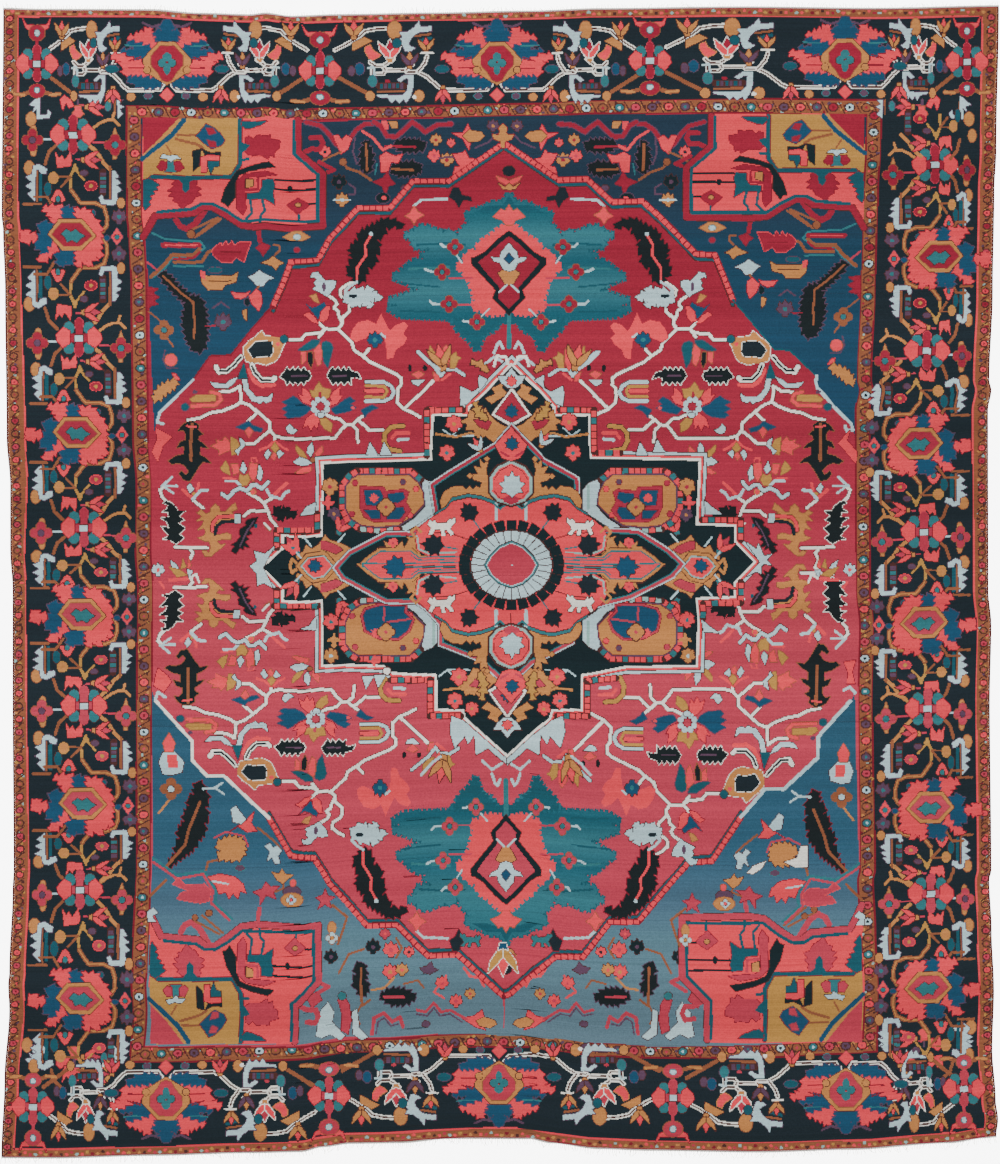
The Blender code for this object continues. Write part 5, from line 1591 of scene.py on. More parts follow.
QUARTER = (
    ("area", "gold", "rust", ((235, 503), (237, 509), (231, 512), (237, 517), (237, 519), (223, 521),
        (215, 526), (211, 533), (219, 535), (227, 533), (231, 535), (231, 539), (223, 539), (216, 541),
        (220, 545), (225, 544), (221, 548), (217, 551), (211, 556), (205, 556), (202, 551), (206, 551),
        (209, 553), (211, 547), (209, 541), (205, 541), (198, 538), (204, 536), (206, 532), (204, 528),
        (198, 530), (203, 524), (204, 520), (197, 521), (202, 516), (197, 513), (201, 510), (206, 514),
        (211, 512), (211, 508), (215, 504), (219, 507), (220, 512), (225, 512), (229, 508))),
    ("area", "ice", "brown", ((310, 278), (312, 273), (318, 272), (322, 277), (326, 281), (330, 280),
        (336, 281), (335, 287), (331, 292), (327, 297), (323, 294), (317, 291), (313, 289), (316, 286),
        (314, 283), (317, 279), (313, 277))),
    ("disc", "violet", None, (324, 287, 1.8, 4.6)),
    ("area", "gold", "rust", ((310, 296), (316, 294), (319, 303), (314, 301))),
    ("area", "blue", "oxblood", ((306, 304), (312, 308), (318, 306), (324, 302), (326, 306), (321, 314),
        (318, 319), (312, 312))),
    ("area", "coral", "oxblood", ((303, 315), (308, 312), (314, 316), (319, 324), (312, 322), (307, 317))),
    ("area", "coral", "oxblood", ((319, 321), (321, 312), (327, 306), (330, 306), (328, 318), (324, 322))),
    ("area", "deep teal", "violet", ((298, 350), (306, 344), (312, 340), (320, 340), (318, 346),
        (309, 350), (302, 351))),
    ("area", "deep teal", "violet", ((322, 343), (326, 341), (331, 343), (333, 348), (330, 360),
        (328, 368), (324, 362), (322, 352))),
    ("area", "coral", "rust", ((301, 352), (306, 352), (306, 360), (302, 364))),
    ("area", "black", "rust", ((308, 352), (312, 352), (313, 362), (311, 368), (308, 362))),
    ("area", "coral", "rust", ((314, 350), (320, 344), (322, 352), (321, 363), (318, 366), (315, 358))),
    ("area", "black", "cream", ((280, 377), (285, 371), (287, 367), (290, 371), (293, 367), (295, 371),
        (298, 367), (301, 371), (304, 367), (306, 371), (309, 371), (311, 376), (309, 380), (306, 381),
        (304, 385), (301, 381), (298, 385), (295, 381), (293, 385), (290, 381), (287, 385), (285, 380))),
    ("line", "violet", 1.8, ((292, 376), (307, 376))),
    ("area", "black", "cream", ((327, 376), (330, 370), (333, 367), (335, 371), (338, 367), (341, 371),
        (344, 367), (346, 371), (349, 367), (351, 371), (358, 373), (361, 379), (355, 377), (351, 378),
        (351, 385), (348, 381), (344, 385), (341, 381), (338, 385), (336, 381), (333, 385), (330, 380))),
    ("line", "violet", 1.8, ((333, 376), (346, 376))),
    ("edged", "ice", (3.4, "brown", 4.8), ((366, 382), (384, 382), (391, 386), (394, 392), (391, 398),
        (384, 401), (366, 401))),
    ("line", "ochre", 3.0, ((366, 386), (384, 386), (387, 391), (384, 397), (366, 397))),
    ("edged", "coral", (3.4, "brown", 4.8), ((366, 391), (383, 391))),
    ("area", "blue", "violet", ((312, 408), (306, 414), (300, 417), (288, 418), (284, 415), (288, 412),
        (282, 409), (288, 405), (282, 402), (289, 399), (293, 396), (298, 399), (303, 404))),
    ("area", "blue", "violet", ((331, 409), (338, 405), (344, 400), (350, 397), (355, 401), (350, 404),
        (356, 408), (350, 411), (342, 413), (335, 414))),
    ("area", "coral", "oxblood", ((312, 406), (303, 402), (298, 394), (303, 396), (302, 387), (309, 392),
        (312, 398), (309, 401), (314, 403))),
    ("area", "coral", "oxblood", ((330, 406), (338, 403), (342, 396), (339, 396), (340, 387), (334, 391),
        (330, 397), (332, 401), (328, 403))),
    ("area", "ochre", "rust", ((318, 400), (312, 396), (310, 390), (314, 391), (316, 386), (319, 382),
        (322, 387), (326, 389), (331, 389), (329, 397), (324, 400))),
    ("disc", "crimson", None, (320, 395, 1.6, 3.4)),
    ("area", "coral", "oxblood", ((313, 413), (306, 419), (303, 428), (308, 425), (311, 431), (314, 425),
        (317, 429), (319, 420), (318, 415))),
    ("area", "ochre", "rust", ((320, 419), (326, 418), (332, 424), (331, 432), (325, 429), (321, 424))),
    ("ring", "ice", "oxblood", (320.5, 406.5, 8, 8)), ("disc", "crimson", None, (320.5, 406.5, 3.6, 3.6)),
    ("disc", "ice", "brown", (321, 415, 3.6, 2.8)),
    ("area", "blue", "violet", ((361, 410), (367, 407), (372, 405), (378, 408), (372, 410), (367, 414),
        (365, 417))),
    ("disc", "coral", None, (353, 408, 2.0, 1.6)),
    ("edged", "ochre", (4.2, "brown", 5.6), ((403, 426), (391, 427), (385, 433), (384, 441), (388, 449),
        (400, 451))),
    ("line", "coral", 3.4, ((409, 433), (396, 433), (392, 438))),
    ("line", "ice", 3.2, ((408, 439), (398, 440))),
    ("edged", "ice", (3.2, "brown", 4.6), ((418, 352), (430, 363), (434, 366), (441, 376), (445, 370),
        (455, 369), (464, 375))),
    ("area", "ochre", "rust", ((430, 346), (437, 356), (440, 366), (435, 364), (429, 357))),
    ("area", "coral", "rust", ((446, 345), (441, 352), (442, 366), (445, 371), (449, 362), (449, 350))),
    ("area", "ochre", "rust", ((456, 352), (451, 356), (450, 368), (455, 368), (458, 360), (461, 358),
        (457, 356))),
    ("area", "coral", "rust", ((433, 372), (439, 376), (439, 381), (435, 381))),
    ("line", "coral", 2.6, ((442, 380), (450, 374))), ("disc", "black", None, (410, 368, 2, 3.6)),
    ("disc", "black", None, (425, 368, 2.2, 3)),
    ("area", "coral", "rust", ((412, 374), (419, 371), (424, 374), (418, 379))),
    ("area", "ice", "brown", ((411, 380), (425, 380), (418, 386), (413, 384))),
    ("area", "ice", "brown", ((286, 428), (290, 424), (294, 429), (298, 430), (293, 434), (288, 433))),
    ("area", "black", "rust", ((187, 422), (193, 421), (199, 425), (198, 430), (203, 434), (199, 436),
        (198, 440), (204, 444), (208, 448), (200, 447), (200, 455), (206, 458), (211, 463), (203, 462),
        (198, 468), (193, 476), (190, 481), (184, 480), (179, 474), (181, 471), (186, 475), (189, 471),
        (184, 465), (178, 463), (172, 464), (168, 461), (176, 456), (184, 454), (184, 446), (177, 448),
        (180, 442), (186, 440), (186, 434), (183, 430), (178, 431), (182, 425))),
    ("line", "rust", 3.2, ((192, 424), (191, 460))), ("line", "coral", 2.0, ((187, 426), (196, 427))),
    ("area", "ochre", "rust", ((190, 399), (196, 395), (216, 395), (216, 401), (192, 402))),
    ("edged", "coral", (3.2, "rust", 4.6), ((192, 406), (215, 405), (221, 400), (219, 394), (211, 392))),
    ("disc", "deep teal", "violet", (185, 407, 3.8, 3.6)), ("disc", "violet", None, (195, 392, 2.6, 2)),
    ("area", "coral", "rust", ((249, 427), (253, 431), (249, 438), (245, 431))),
    ("area", "blue", "violet", ((236, 427), (243, 424), (249, 421), (252, 425), (263, 429), (261, 432),
        (255, 431), (249, 426), (244, 430), (238, 428))),
    ("area", "coral", "rust", ((211, 446), (218, 443), (216, 440), (222, 441), (225, 437), (229, 441),
        (231, 450), (225, 452), (219, 455), (219, 450))),
    ("area", "ochre", "rust", ((231, 437), (237, 440), (240, 447), (236, 454), (232, 455), (231, 448))),
    ("area", "ice", "brown", ((239, 437), (244, 441), (245, 446), (240, 450), (238, 455), (235, 451),
        (241, 446))),
    ("line", "coral", 2.4, ((260, 450), (268, 447), (275, 441), (282, 447), (288, 450))),
    ("area", "ochre", "rust", ((275, 442), (279, 448), (275, 453), (271, 448))),
    ("area", "ice", "brown", ((268, 449), (271, 453), (267, 460), (264, 455))),
    ("area", "coral", "rust", ((274, 452), (277, 455), (274, 460), (271, 457))),
    ("area", "ice", "brown", ((279, 450), (284, 453), (279, 458), (277, 453))),
    ("area", "ochre", "rust", ((296, 445), (303, 451), (307, 458), (300, 456), (296, 450))),
    ("area", "ice", "brown", ((308, 447), (312, 442), (314, 450), (311, 457), (307, 453))),
    ("area", "coral", "rust", ((315, 453), (322, 446), (323, 452), (317, 458))),
    ("area", "ice", "brown", ((293, 462), (300, 457), (308, 460), (312, 463), (305, 466), (298, 465))),
    ("area", "coral", "rust", ((295, 473), (302, 468), (311, 467), (311, 471), (299, 474))),
    ("disc", "rust", "brown", (313, 460, 3, 2.4)),
    ("area", "ochre", "rust", ((226, 461), (229, 467), (230, 475), (224, 472), (220, 468))),
    ("area", "coral", "rust", ((231, 464), (238, 464), (239, 472), (234, 475))),
    ("area", "ice", "brown", ((243, 461), (247, 469), (244, 474), (240, 470))),
    ("area", "coral", "rust", ((250, 463), (257, 464), (257, 474), (253, 482), (249, 474))),
    ("line", "coral", 1.4, ((252, 462), (251, 458), (256, 458), (257, 461))),
    ("area", "ice", "brown", ((259, 464), (263, 472), (261, 481), (257, 478))),
    ("area", "ochre", "rust", ((240, 474), (244, 476), (248, 474), (250, 480), (247, 485), (242, 486),
        (239, 480))),
    ("line", "coral", 2.2, ((224, 478), (235, 479))),
    ("line", "ice", 2.6, ((226, 481), (236, 481), (240, 485))),
    ("edged", "ice", (3.6, "brown", 5.0), ((222, 494), (228, 498), (234, 491), (240, 488), (247, 491),
        (252, 485), (256, 485), (262, 489), (268, 482))),
    ("line", "ice", 3.0, ((267, 490), (270, 496), (275, 497), (281, 499), (285, 493), (289, 491))),
    ("line", "coral", 3.2, ((275, 494), (280, 489), (287, 483))),
    ("disc", "coral", "gold", (253, 492, 2.4, 2.4)),
    ("line", "ice", 2.6, ((162, 486), (168, 481), (172, 477))),
    ("line", "ice", 2.6, ((165, 486), (177, 486))), ("line", "ice", 2.4, ((166, 488), (173, 493))),
    ("area", "ice", "brown", ((187, 487), (190, 483), (194, 489), (190, 494))),
    ("line", "coral", 3.4, ((183, 490), (192, 498))), ("line", "coral", 2.8, ((199, 483), (197, 491))),
    ("disc", "ochre", None, (194, 494, 1.8, 2.4)),
    ("line", "ice", 3.2, ((193, 499), (200, 491), (207, 490))),
    ("wing", "black", None, ((273, 512), (277, 506), (281, 509), (286, 507), (291, 511), (298, 514),
        (290, 518), (285, 517), (280, 521), (277, 517))),
    ("area", "black", "cream", ((163, 503), (166, 501), (170, 502), (175, 506), (178, 511), (185, 511),
        (179, 516), (184, 520), (178, 523), (185, 528), (179, 534), (184, 538), (176, 544), (170, 540),
        (163, 539), (169, 536), (161, 526), (169, 528), (167, 522), (161, 518), (169, 517), (168, 512),
        (162, 512), (167, 509), (168, 505))),
    ("area", "black", "oxblood", ((258, 517), (253, 518), (247, 520), (245, 523), (247, 525), (240, 529),
        (239, 534), (241, 536), (236, 542), (231, 545), (235, 546), (231, 551), (236, 554), (240, 548),
        (244, 550), (243, 546), (250, 548), (245, 542), (249, 539), (246, 536), (252, 534), (249, 530),
        (254, 526), (256, 522))),
    ("line", "violet", 1.6, ((240, 546), (247, 531), (254, 521))),
    ("line", "cream", 2.0, ((264, 523), (270, 529))), ("line", "rust", 1.4, ((265, 527), (271, 532))),
    ("disc", "deep teal", None, (256, 526, 1.6, 2.2)),
    ("area", "gold", "cream", ((244, 347), (249, 341), (255, 337), (259, 333), (262, 331), (265, 336),
        (274, 337), (281, 338), (286, 342), (283, 346), (281, 352), (278, 358), (274, 362), (266, 365),
        (258, 363), (252, 363), (246, 361), (244, 355))),
    ("area", "navy", "cream", ((248, 350), (255, 342), (262, 341), (272, 342), (273, 352), (270, 357),
        (262, 356), (253, 358))),
    ("disc", "deep teal", "brown", (284, 339, 4, 4)), ("disc", "coral", None, (278, 344, 2.2, 2)),
    ("line", "coral", 4.0, ((249, 370), (254, 381), (262, 386), (274, 385))),
    ("edged", "cream", (4.8, "brown", 6.2), ((241, 357), (234, 365), (227, 371), (219, 372), (216, 367))),
    ("line", "ink", 2.0, ((241, 357), (234, 365), (227, 371), (220, 371))),
    ("edged", "cream", (4.8, "brown", 6.2), ((252, 365), (255, 373), (262, 380), (273, 380), (275, 378))),
    ("line", "ink", 2.0, ((252, 366), (255, 373), (262, 380), (271, 380))),
    ("area", "deep teal", "oxblood", ((244, 362), (237, 379), (248, 379))),
    ("area", "ice", "brown", ((210, 382), (215, 383), (226, 384), (230, 380), (238, 377), (234, 383),
        (228, 388), (215, 388))),
    ("area", "ice", "brown", ((242, 379), (247, 379), (249, 389), (256, 397), (268, 397), (273, 393),
        (271, 401), (266, 403), (263, 401), (260, 404), (257, 402), (252, 401), (244, 390))),
    ("edged", "coral", (3.4, "brown", 4.6), ((235, 516), (218, 517), (213, 523), (212, 530))),
    ("line", "navy", 3.4, ((235, 521), (222, 522), (217, 526), (215, 534))),
    ("area", "ice", "brown", ((235, 514), (241, 514), (241, 523), (235, 523))),
)
# The sprays on the middle row of the field, as they lie at its left.
MIDDLE_ROW = (
    ("area", "ice", "brown", ((170, 560), (176, 564), (179, 569), (172, 567))),
    ("area", "ochre", "rust", ((169, 567), (180, 570), (187, 575), (177, 577))),
    ("area", "ochre", "rust", ((183, 559), (186, 567), (181, 569))),
    ("area", "coral", "rust", ((189, 558), (191, 566), (187, 570))),
    ("area", "ice", "brown", ((187, 569), (193, 571), (189, 578))),
    ("line", "coral", 3.4, ((170, 580), (187, 579))),
    ("line", "cream", 2.4, ((190, 578), (196, 574), (199, 582))),
    ("tuft", "ice", "coral", (158, 570, 13, 0)), ("line", "coral", 2.4, ((160, 582), (164, 588))),
)


def field_axis(rows):
    """Where the middle line of the field, which leans a little, crosses these rows."""
    return 504 + 0.015 * (565 - rows)


def quarter(side, middle=0, tall=0):
    """A put for the field: its upper left quarter, mirrored to the right or below a middle row."""
    def put(points):
        points = np.asarray(points, float)
        reach = field_axis(points[:, 1]) - points[:, 0]
        rows = middle + (middle - points[:, 1]) * tall if tall else points[:, 1]
        return np.stack([field_axis(rows) - side * reach, rows], axis=1)
    return put


def draw_field():
    """The vines, flowers and leaves of the crimson ground, quarter by quarter."""
    quarters = (quarter(1.0), quarter(-1.0), quarter(1.0, 568, 0.935), quarter(-1.0, 560, 1.06))
    for put in quarters:
        for wool, width in (("brown", 4.2), ("cream", 3.0)):
            for path in FIELD_STEMS:
                stroke(put(path), wool, width)
        draw_plan(QUARTER, put)
    for put in quarters[:2]:
        draw_plan(MIDDLE_ROW, put)


def draw_chart():
    draw_guards()
    draw_main_border()
    draw_corners()
    draw_field()
    draw_pendants()
    draw_medallion()


# Heights and widths in metres; a drop is knots in from the edge and how much lower the pile's face is there.
PILE_TOP = 0.010
PILE_FOOT = 0.0045
SIDE_CORD = 0.0062
STRIP_WIDTH = 0.0055
STRIP_THICKNESS = 0.0030
FIT_GAP = 0.0003
# The warp ends: knots between them, and how far they start inside the strip and half their width, in metres.
WARP_SPACING = 1.9
WARP_TUCK = 0.0012
WARP_HALF_WIDTH = (0.00065, 0.0010)
EDGE_DROP = ((0.0, 0.0026), (1.0, 0.0010), (3.0, 0.0))
BANDS = 8
BLOCKS_ACROSS = 4
SPARE_COLUMNS = 40
GROUND_STEP = 6

# Low waves in the rug where it doesn't lie quite flat.
WAVES = (
    # x_m, y_m, across_m, length_m, turn_deg, height_m
    (1.36, -1.41, 0.030, 0.200, 78, 0.0022),
    (-1.40, -1.20, 0.035, 0.120, -80, 0.0014),
    (-0.10, -1.62, 0.060, 0.300, 4, 0.0012),
    (1.41, 0.58, 0.040, 0.120, 82, 0.0012),
    (-0.72, 1.64, 0.050, 0.160, -6, 0.0010),
)

SHIFT_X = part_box("selvedge_left")[0][0] + LEFT_EDGE[-1][1]
SHIFT_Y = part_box("selvedge_left")[1][1] - LEFT_EDGE[0][0]
BODY_INSET = (SIDE_CORD + FIT_GAP) / KNOT

chance = np.random.default_rng(7)


def wave_height(x, y):
    """How far the waves lift the rug at these places, in metres."""
    height = np.zeros(np.shape(x))
    for wave_x, wave_y, across, length, turn, lift in WAVES:
        angle = math.radians(turn)
        along = (x - wave_x) * math.cos(angle) + (y - wave_y) * math.sin(angle)
        aside = (y - wave_y) * math.cos(angle) - (x - wave_x) * math.sin(angle)
        height = height + lift * np.exp(-((along / length) ** 2) - (aside / across) ** 2)
    return height


def laid_out(columns, rows):
    """Where chart places lie, in metres, with the height of the face there."""
    x, y = to_rug(np.asarray(columns, float), np.asarray(rows, float))
    x = (x - MIDDLE_X) * KNOT
    y = (MIDDLE_Y - y) * KNOT
    return x + SHIFT_X, y + SHIFT_Y, PILE_TOP + wave_height(x, y)


# How the dye lots change down the rug. Each row: chart row, then red, green and blue for the wool.
ABRASH = {
    "crimson": (
        (0, (148, 34, 54)), (300, (144, 36, 54)), (400, (154, 42, 60)), (500, (166, 46, 66)),
        (600, (178, 60, 76)), (800, (184, 62, 80)), (1164, (176, 54, 70)),
    ),
    "field blue": (
        (0, (34, 50, 64)), (200, (34, 52, 68)), (250, (32, 62, 82)), (420, (34, 66, 90)),
        (700, (44, 78, 98)), (850, (50, 88, 110)), (900, (70, 99, 118)), (940, (84, 117, 130)),
        (1060, (90, 112, 124)), (1164, (80, 102, 114)),
    ),
    "pendant": (
        (190, (44, 96, 108)), (215, (34, 88, 100)), (235, (56, 114, 124)), (262, (34, 84, 98)),
        (290, (54, 110, 120)), (315, (34, 86, 100)), (350, (40, 92, 104)), (800, (46, 104, 116)),
        (820, (34, 86, 100)), (845, (54, 112, 122)), (870, (36, 88, 102)), (900, (52, 108, 118)),
        (950, (40, 96, 108)),
    ),
}


def wool_colours():
    """The colour of every wool in every chart row, from the dye lots and a little unevenness by row."""
    rows = np.arange(CHART_ROWS)
    table = np.zeros((CHART_ROWS, len(NAMES), 3))
    for number, name in enumerate(NAMES):
        for channel in range(3):
            table[:, number, channel] = WOOLS[name][channel]
            if name in ABRASH:
                places = [place for place, _ in ABRASH[name]]
                table[:, number, channel] = np.interp(rows, places, [dye[channel] for _, dye in ABRASH[name]])
    fine = chance.normal(0.0, 0.022, CHART_ROWS)
    slow = np.convolve(chance.normal(0.0, 0.07, CHART_ROWS + 24), np.ones(25) / 25.0, "valid") * 2.0
    table *= (1.0 + fine + slow)[:, None, None]
    return table.clip(0, 255) / 255.0


def boundary_columns():
    """For every line between two chart rows, the columns where a wool changes above or below it."""
    first, last = LEFT + BODY_INSET, RIGHT - BODY_INSET
    held = {first, first + 1.0, first + 3.0, last - 3.0, last - 1.0, last}
    breaks = np.linspace(first, last, BLOCKS_ACROSS + 1)[1:-1].round()
    held |= set(breaks)
    held |= set(np.arange(first + 20.0, last - 20.0, SPARE_COLUMNS).round())
    changes = {}
    for row in range(TOP, BOTTOM):
        line = chart[row]
        found = np.flatnonzero(line[1:] != line[:-1]) + 1
        changes[row] = found[(found > first + 0.01) & (found < last - 0.01)].astype(float)
    lines = {}
    nothing = np.zeros(0)
    for row in range(TOP, BOTTOM + 1):
        parts = [changes.get(row - 1, nothing), changes.get(row, nothing), np.array(sorted(held))]
        lines[row] = np.unique(np.concatenate(parts))
    return lines


def rug_material(name, rough=0.95, sheen=0.06, attribute=None, colour=None, bumps=()):
    """Matt yarn: its colour from the knots or plain, softly mottled, with a raised grain."""
    material = bpy.data.materials.new(name)
    material.use_nodes = True
    nodes, links = material.node_tree.nodes, material.node_tree.links
    shader = nodes["Principled BSDF"]
    shader.inputs["Roughness"].default_value = rough
    shader.inputs["Specular IOR Level"].default_value = 0.08
    shader.inputs["Sheen Weight"].default_value = sheen
    shader.inputs["Sheen Roughness"].default_value = 0.55
    place = nodes.new("ShaderNodeTexCoord").outputs["Object"]
    if attribute:
        source = nodes.new("ShaderNodeAttribute")
        source.attribute_name = attribute
        colour_from = source.outputs["Color"]
        mottle = nodes.new("ShaderNodeTexNoise")
        mottle.inputs["Scale"].default_value = 260.0
        mottle.inputs["Detail"].default_value = 3.0
        links.new(place, mottle.inputs["Vector"])
        shade = nodes.new("ShaderNodeMapRange")
        shade.inputs["From Min"].default_value = 0.25
        shade.inputs["From Max"].default_value = 0.75
        shade.inputs["To Min"].default_value = 0.80
        shade.inputs["To Max"].default_value = 1.14
        links.new(mottle.outputs["Fac"], shade.inputs["Value"])
        worn = nodes.new("ShaderNodeVectorMath")
        worn.operation = "SCALE"
        links.new(colour_from, worn.inputs[0])
        links.new(shade.outputs["Result"], worn.inputs["Scale"])
        links.new(worn.outputs["Vector"], shader.inputs["Base Color"])
    else:
        shader.inputs["Base Color"].default_value = (*colour, 1.0)
    normal = None
    for scale, depth in bumps:
        grain = nodes.new("ShaderNodeTexNoise")
        grain.inputs["Scale"].default_value = scale
        grain.inputs["Detail"].default_value = 2.0
        links.new(place, grain.inputs["Vector"])
        bump = nodes.new("ShaderNodeBump")
        bump.inputs["Strength"].default_value = 0.6
        bump.inputs["Distance"].default_value = depth
        links.new(grain.outputs["Fac"], bump.inputs["Height"])
        if normal:
            links.new(normal, bump.inputs["Normal"])
        normal = bump.outputs["Normal"]
    if normal:
        links.new(normal, shader.inputs["Normal"])
    return material


def linear(*seen):
    """A seen colour, 0 to 255, as the light it stands for."""
    return tuple(((value / 255.0 + 0.055) / 1.055) ** 2.4 for value in seen)


def mesh_from(name, points, loops, starts, material):
    """A mesh object from flat arrays: the corners of all faces in turn, and where each face starts."""
    mesh = bpy.data.meshes.new(name)
    mesh.vertices.add(len(points))
    mesh.vertices.foreach_set("co", np.ascontiguousarray(points, np.float32).ravel())
    mesh.loops.add(len(loops))
    mesh.loops.foreach_set("vertex_index", np.ascontiguousarray(loops, np.int32))
    mesh.polygons.add(len(starts))
    mesh.polygons.foreach_set("loop_start", np.ascontiguousarray(starts, np.int32))
    mesh.update(calc_edges=True)
    mesh.validate()
    mesh.materials.append(material)
    item = bpy.data.objects.new(name, mesh)
    bpy.context.scene.collection.objects.link(item)
    return item


def pile_band(number, first_row, last_row, lines, colours, material):
    """The pile between two chart lines: a face of flat knots, one colour each, on walls and a foot."""
    rows = np.arange(first_row, last_row + 1)
    counts = np.array([len(lines[row]) for row in rows])
    offsets = np.concatenate([[0], np.cumsum(counts)])
    columns = np.concatenate([lines[row] for row in rows])
    of_row = np.repeat(rows, counts)
    x, y, z = laid_out(columns, of_row)
    from_side = np.minimum(columns - columns[0], lines[rows[0]][-1] - columns)
    from_end = np.minimum(of_row - TOP, BOTTOM - of_row)
    nearest = np.minimum(from_side, from_end)
    z = z - np.interp(nearest, [reach for reach, _ in EDGE_DROP], [drop for _, drop in EDGE_DROP])
    faces, tints = [], []
    for index, row in enumerate(rows[:-1]):
        upper, lower = lines[row], lines[row + 1]
        up_at, low_at = offsets[index], offsets[index + 1]
        against = low_at + np.searchsorted(lower, upper[1:], "left") - 1
        against = np.maximum(against, low_at)
        start = up_at + np.arange(len(upper) - 1)
        faces.append(np.stack([start, against, start + 1], axis=1))
        tints.append(colours[row, chart[row, upper[:-1].astype(int)]])
        across = up_at + np.searchsorted(upper, lower[1:], "right") - 1
        start = low_at + np.arange(len(lower) - 1)
        faces.append(np.stack([start, start + 1, across], axis=1))
        tints.append(colours[row, chart[row, lower[:-1].astype(int)]])
    faces = np.concatenate(faces)
    tints = np.concatenate(tints)
    points = np.stack([x, y, z], axis=1)
    # The outline, anticlockwise from above: left, lower line, right, upper line.
    left = offsets[:-1]
    right = offsets[1:] - 1
    lower_line = np.arange(offsets[-2] + 1, offsets[-1] - 1)
    upper_line = np.arange(offsets[0] + 1, offsets[1] - 1)
    rim = np.concatenate([left, lower_line, right[::-1], upper_line[::-1]])
    foot = points[rim].copy()
    foot[:, 2] = PILE_FOOT
    foot_at = len(points) + np.arange(len(rim))
    after = np.roll(np.arange(len(rim)), -1)
    walls = np.concatenate([
        np.stack([rim, foot_at, foot_at[after]], axis=1),
        np.stack([rim, foot_at[after], rim[after]], axis=1),
    ])
    corners = np.concatenate([faces.ravel(), walls.ravel(), foot_at[::-1]])
    starts = np.concatenate([np.arange(len(faces) + len(walls)) * 3, [3 * (len(faces) + len(walls))]])
    side_tint = colours[first_row, NUMBER["brown"]]
    tints = np.concatenate([
        np.repeat(tints, 3, axis=0),
        np.tile(side_tint, (len(walls) * 3 + len(rim), 1)),
    ])
    item = mesh_from(f"pile_band_{number:02d}", np.concatenate([points, foot]), corners, starts, material)
    mesh = item.data
    layer = mesh.attributes.new("wool", "BYTE_COLOR", "CORNER")
    shown = np.ones((len(corners), 4), np.float32)
    shown[:, :3] = tints
    layer.data.foreach_set("color_srgb", shown.ravel())
    # The band is folded into blocks of columns, one above another, so that its map isn't one thin strip.
    blocks = lines[rows[0]]
    breaks = np.linspace(blocks[0], blocks[-1], BLOCKS_ACROSS + 1).round()
    breaks[0], breaks[-1] = blocks[0], blocks[-1]
    all_columns = np.concatenate([columns, columns[rim]])
    all_rows = np.concatenate([of_row, of_row[rim]])
    sizes = np.diff(np.append(starts, len(corners)))
    middles = np.add.reduceat(all_columns[corners], starts) / sizes
    block = np.clip(np.searchsorted(breaks, middles) - 1, 0, BLOCKS_ACROSS - 1)
    block = np.repeat(block, sizes)
    across = (all_columns[corners] - breaks[block]) / (breaks[block + 1] - breaks[block])
    down = (last_row - all_rows[corners]) / (last_row - first_row)
    places = np.stack([
        0.004 + 0.992 * across.clip(0.0, 1.0),
        (block + 0.01 + 0.98 * down) / BLOCKS_ACROSS,
    ], axis=1)
    at_wall = np.arange(len(corners)) >= len(faces) * 3
    places[at_wall] = places[at_wall] * 0.002 + 0.001
    folded = mesh.uv_layers.new(name="OFBake")
    folded.data.foreach_set("uv", places.astype(np.float32).ravel())
    return item


def ground_cloth():
    """The knotted cloth under the pile: a thin closed sheet whose underside shows the chart's colours."""
    first, last = LEFT + BODY_INSET, RIGHT - BODY_INSET
    columns = np.append(np.arange(first, last - 1.0, GROUND_STEP), last)
    rows = np.append(np.arange(TOP, BOTTOM - 1, GROUND_STEP), BOTTOM)
    grid_columns, grid_rows = np.meshgrid(columns, rows)
    x, y, _ = laid_out(grid_columns.ravel(), grid_rows.ravel())
    count = x.size
    points = np.concatenate([
        np.stack([x, y, np.zeros(count)], axis=1),
        np.stack([x, y, np.full(count, PILE_FOOT - 0.0001)], axis=1),
    ])
    wide, tall = len(columns), len(rows)
    index = np.arange(count).reshape(tall, wide)
    upper_left, upper_right = index[:-1, :-1].ravel(), index[:-1, 1:].ravel()
    lower_left, lower_right = index[1:, :-1].ravel(), index[1:, 1:].ravel()
    under = np.stack([upper_left, upper_right, lower_right, lower_left], axis=1)
    rim = np.concatenate([index[:, 0], index[-1, 1:], index[-2::-1, -1], index[0, -2:0:-1]])
    after = np.roll(rim, -1)
    walls = np.stack([rim + count, rim, after, after + count], axis=1)
    faces = np.concatenate([under, walls])
    corners = np.concatenate([faces.ravel(), rim + count])
    starts = np.append(np.arange(len(faces)) * 4, len(faces) * 4)
    middle_columns = ((columns[1:] + columns[:-1]) / 2.0).astype(int)
    middle_rows = ((rows[1:] + rows[:-1]) / 2.0).astype(int)
    return points, corners, starts, middle_columns, middle_rows, len(walls), len(rim)


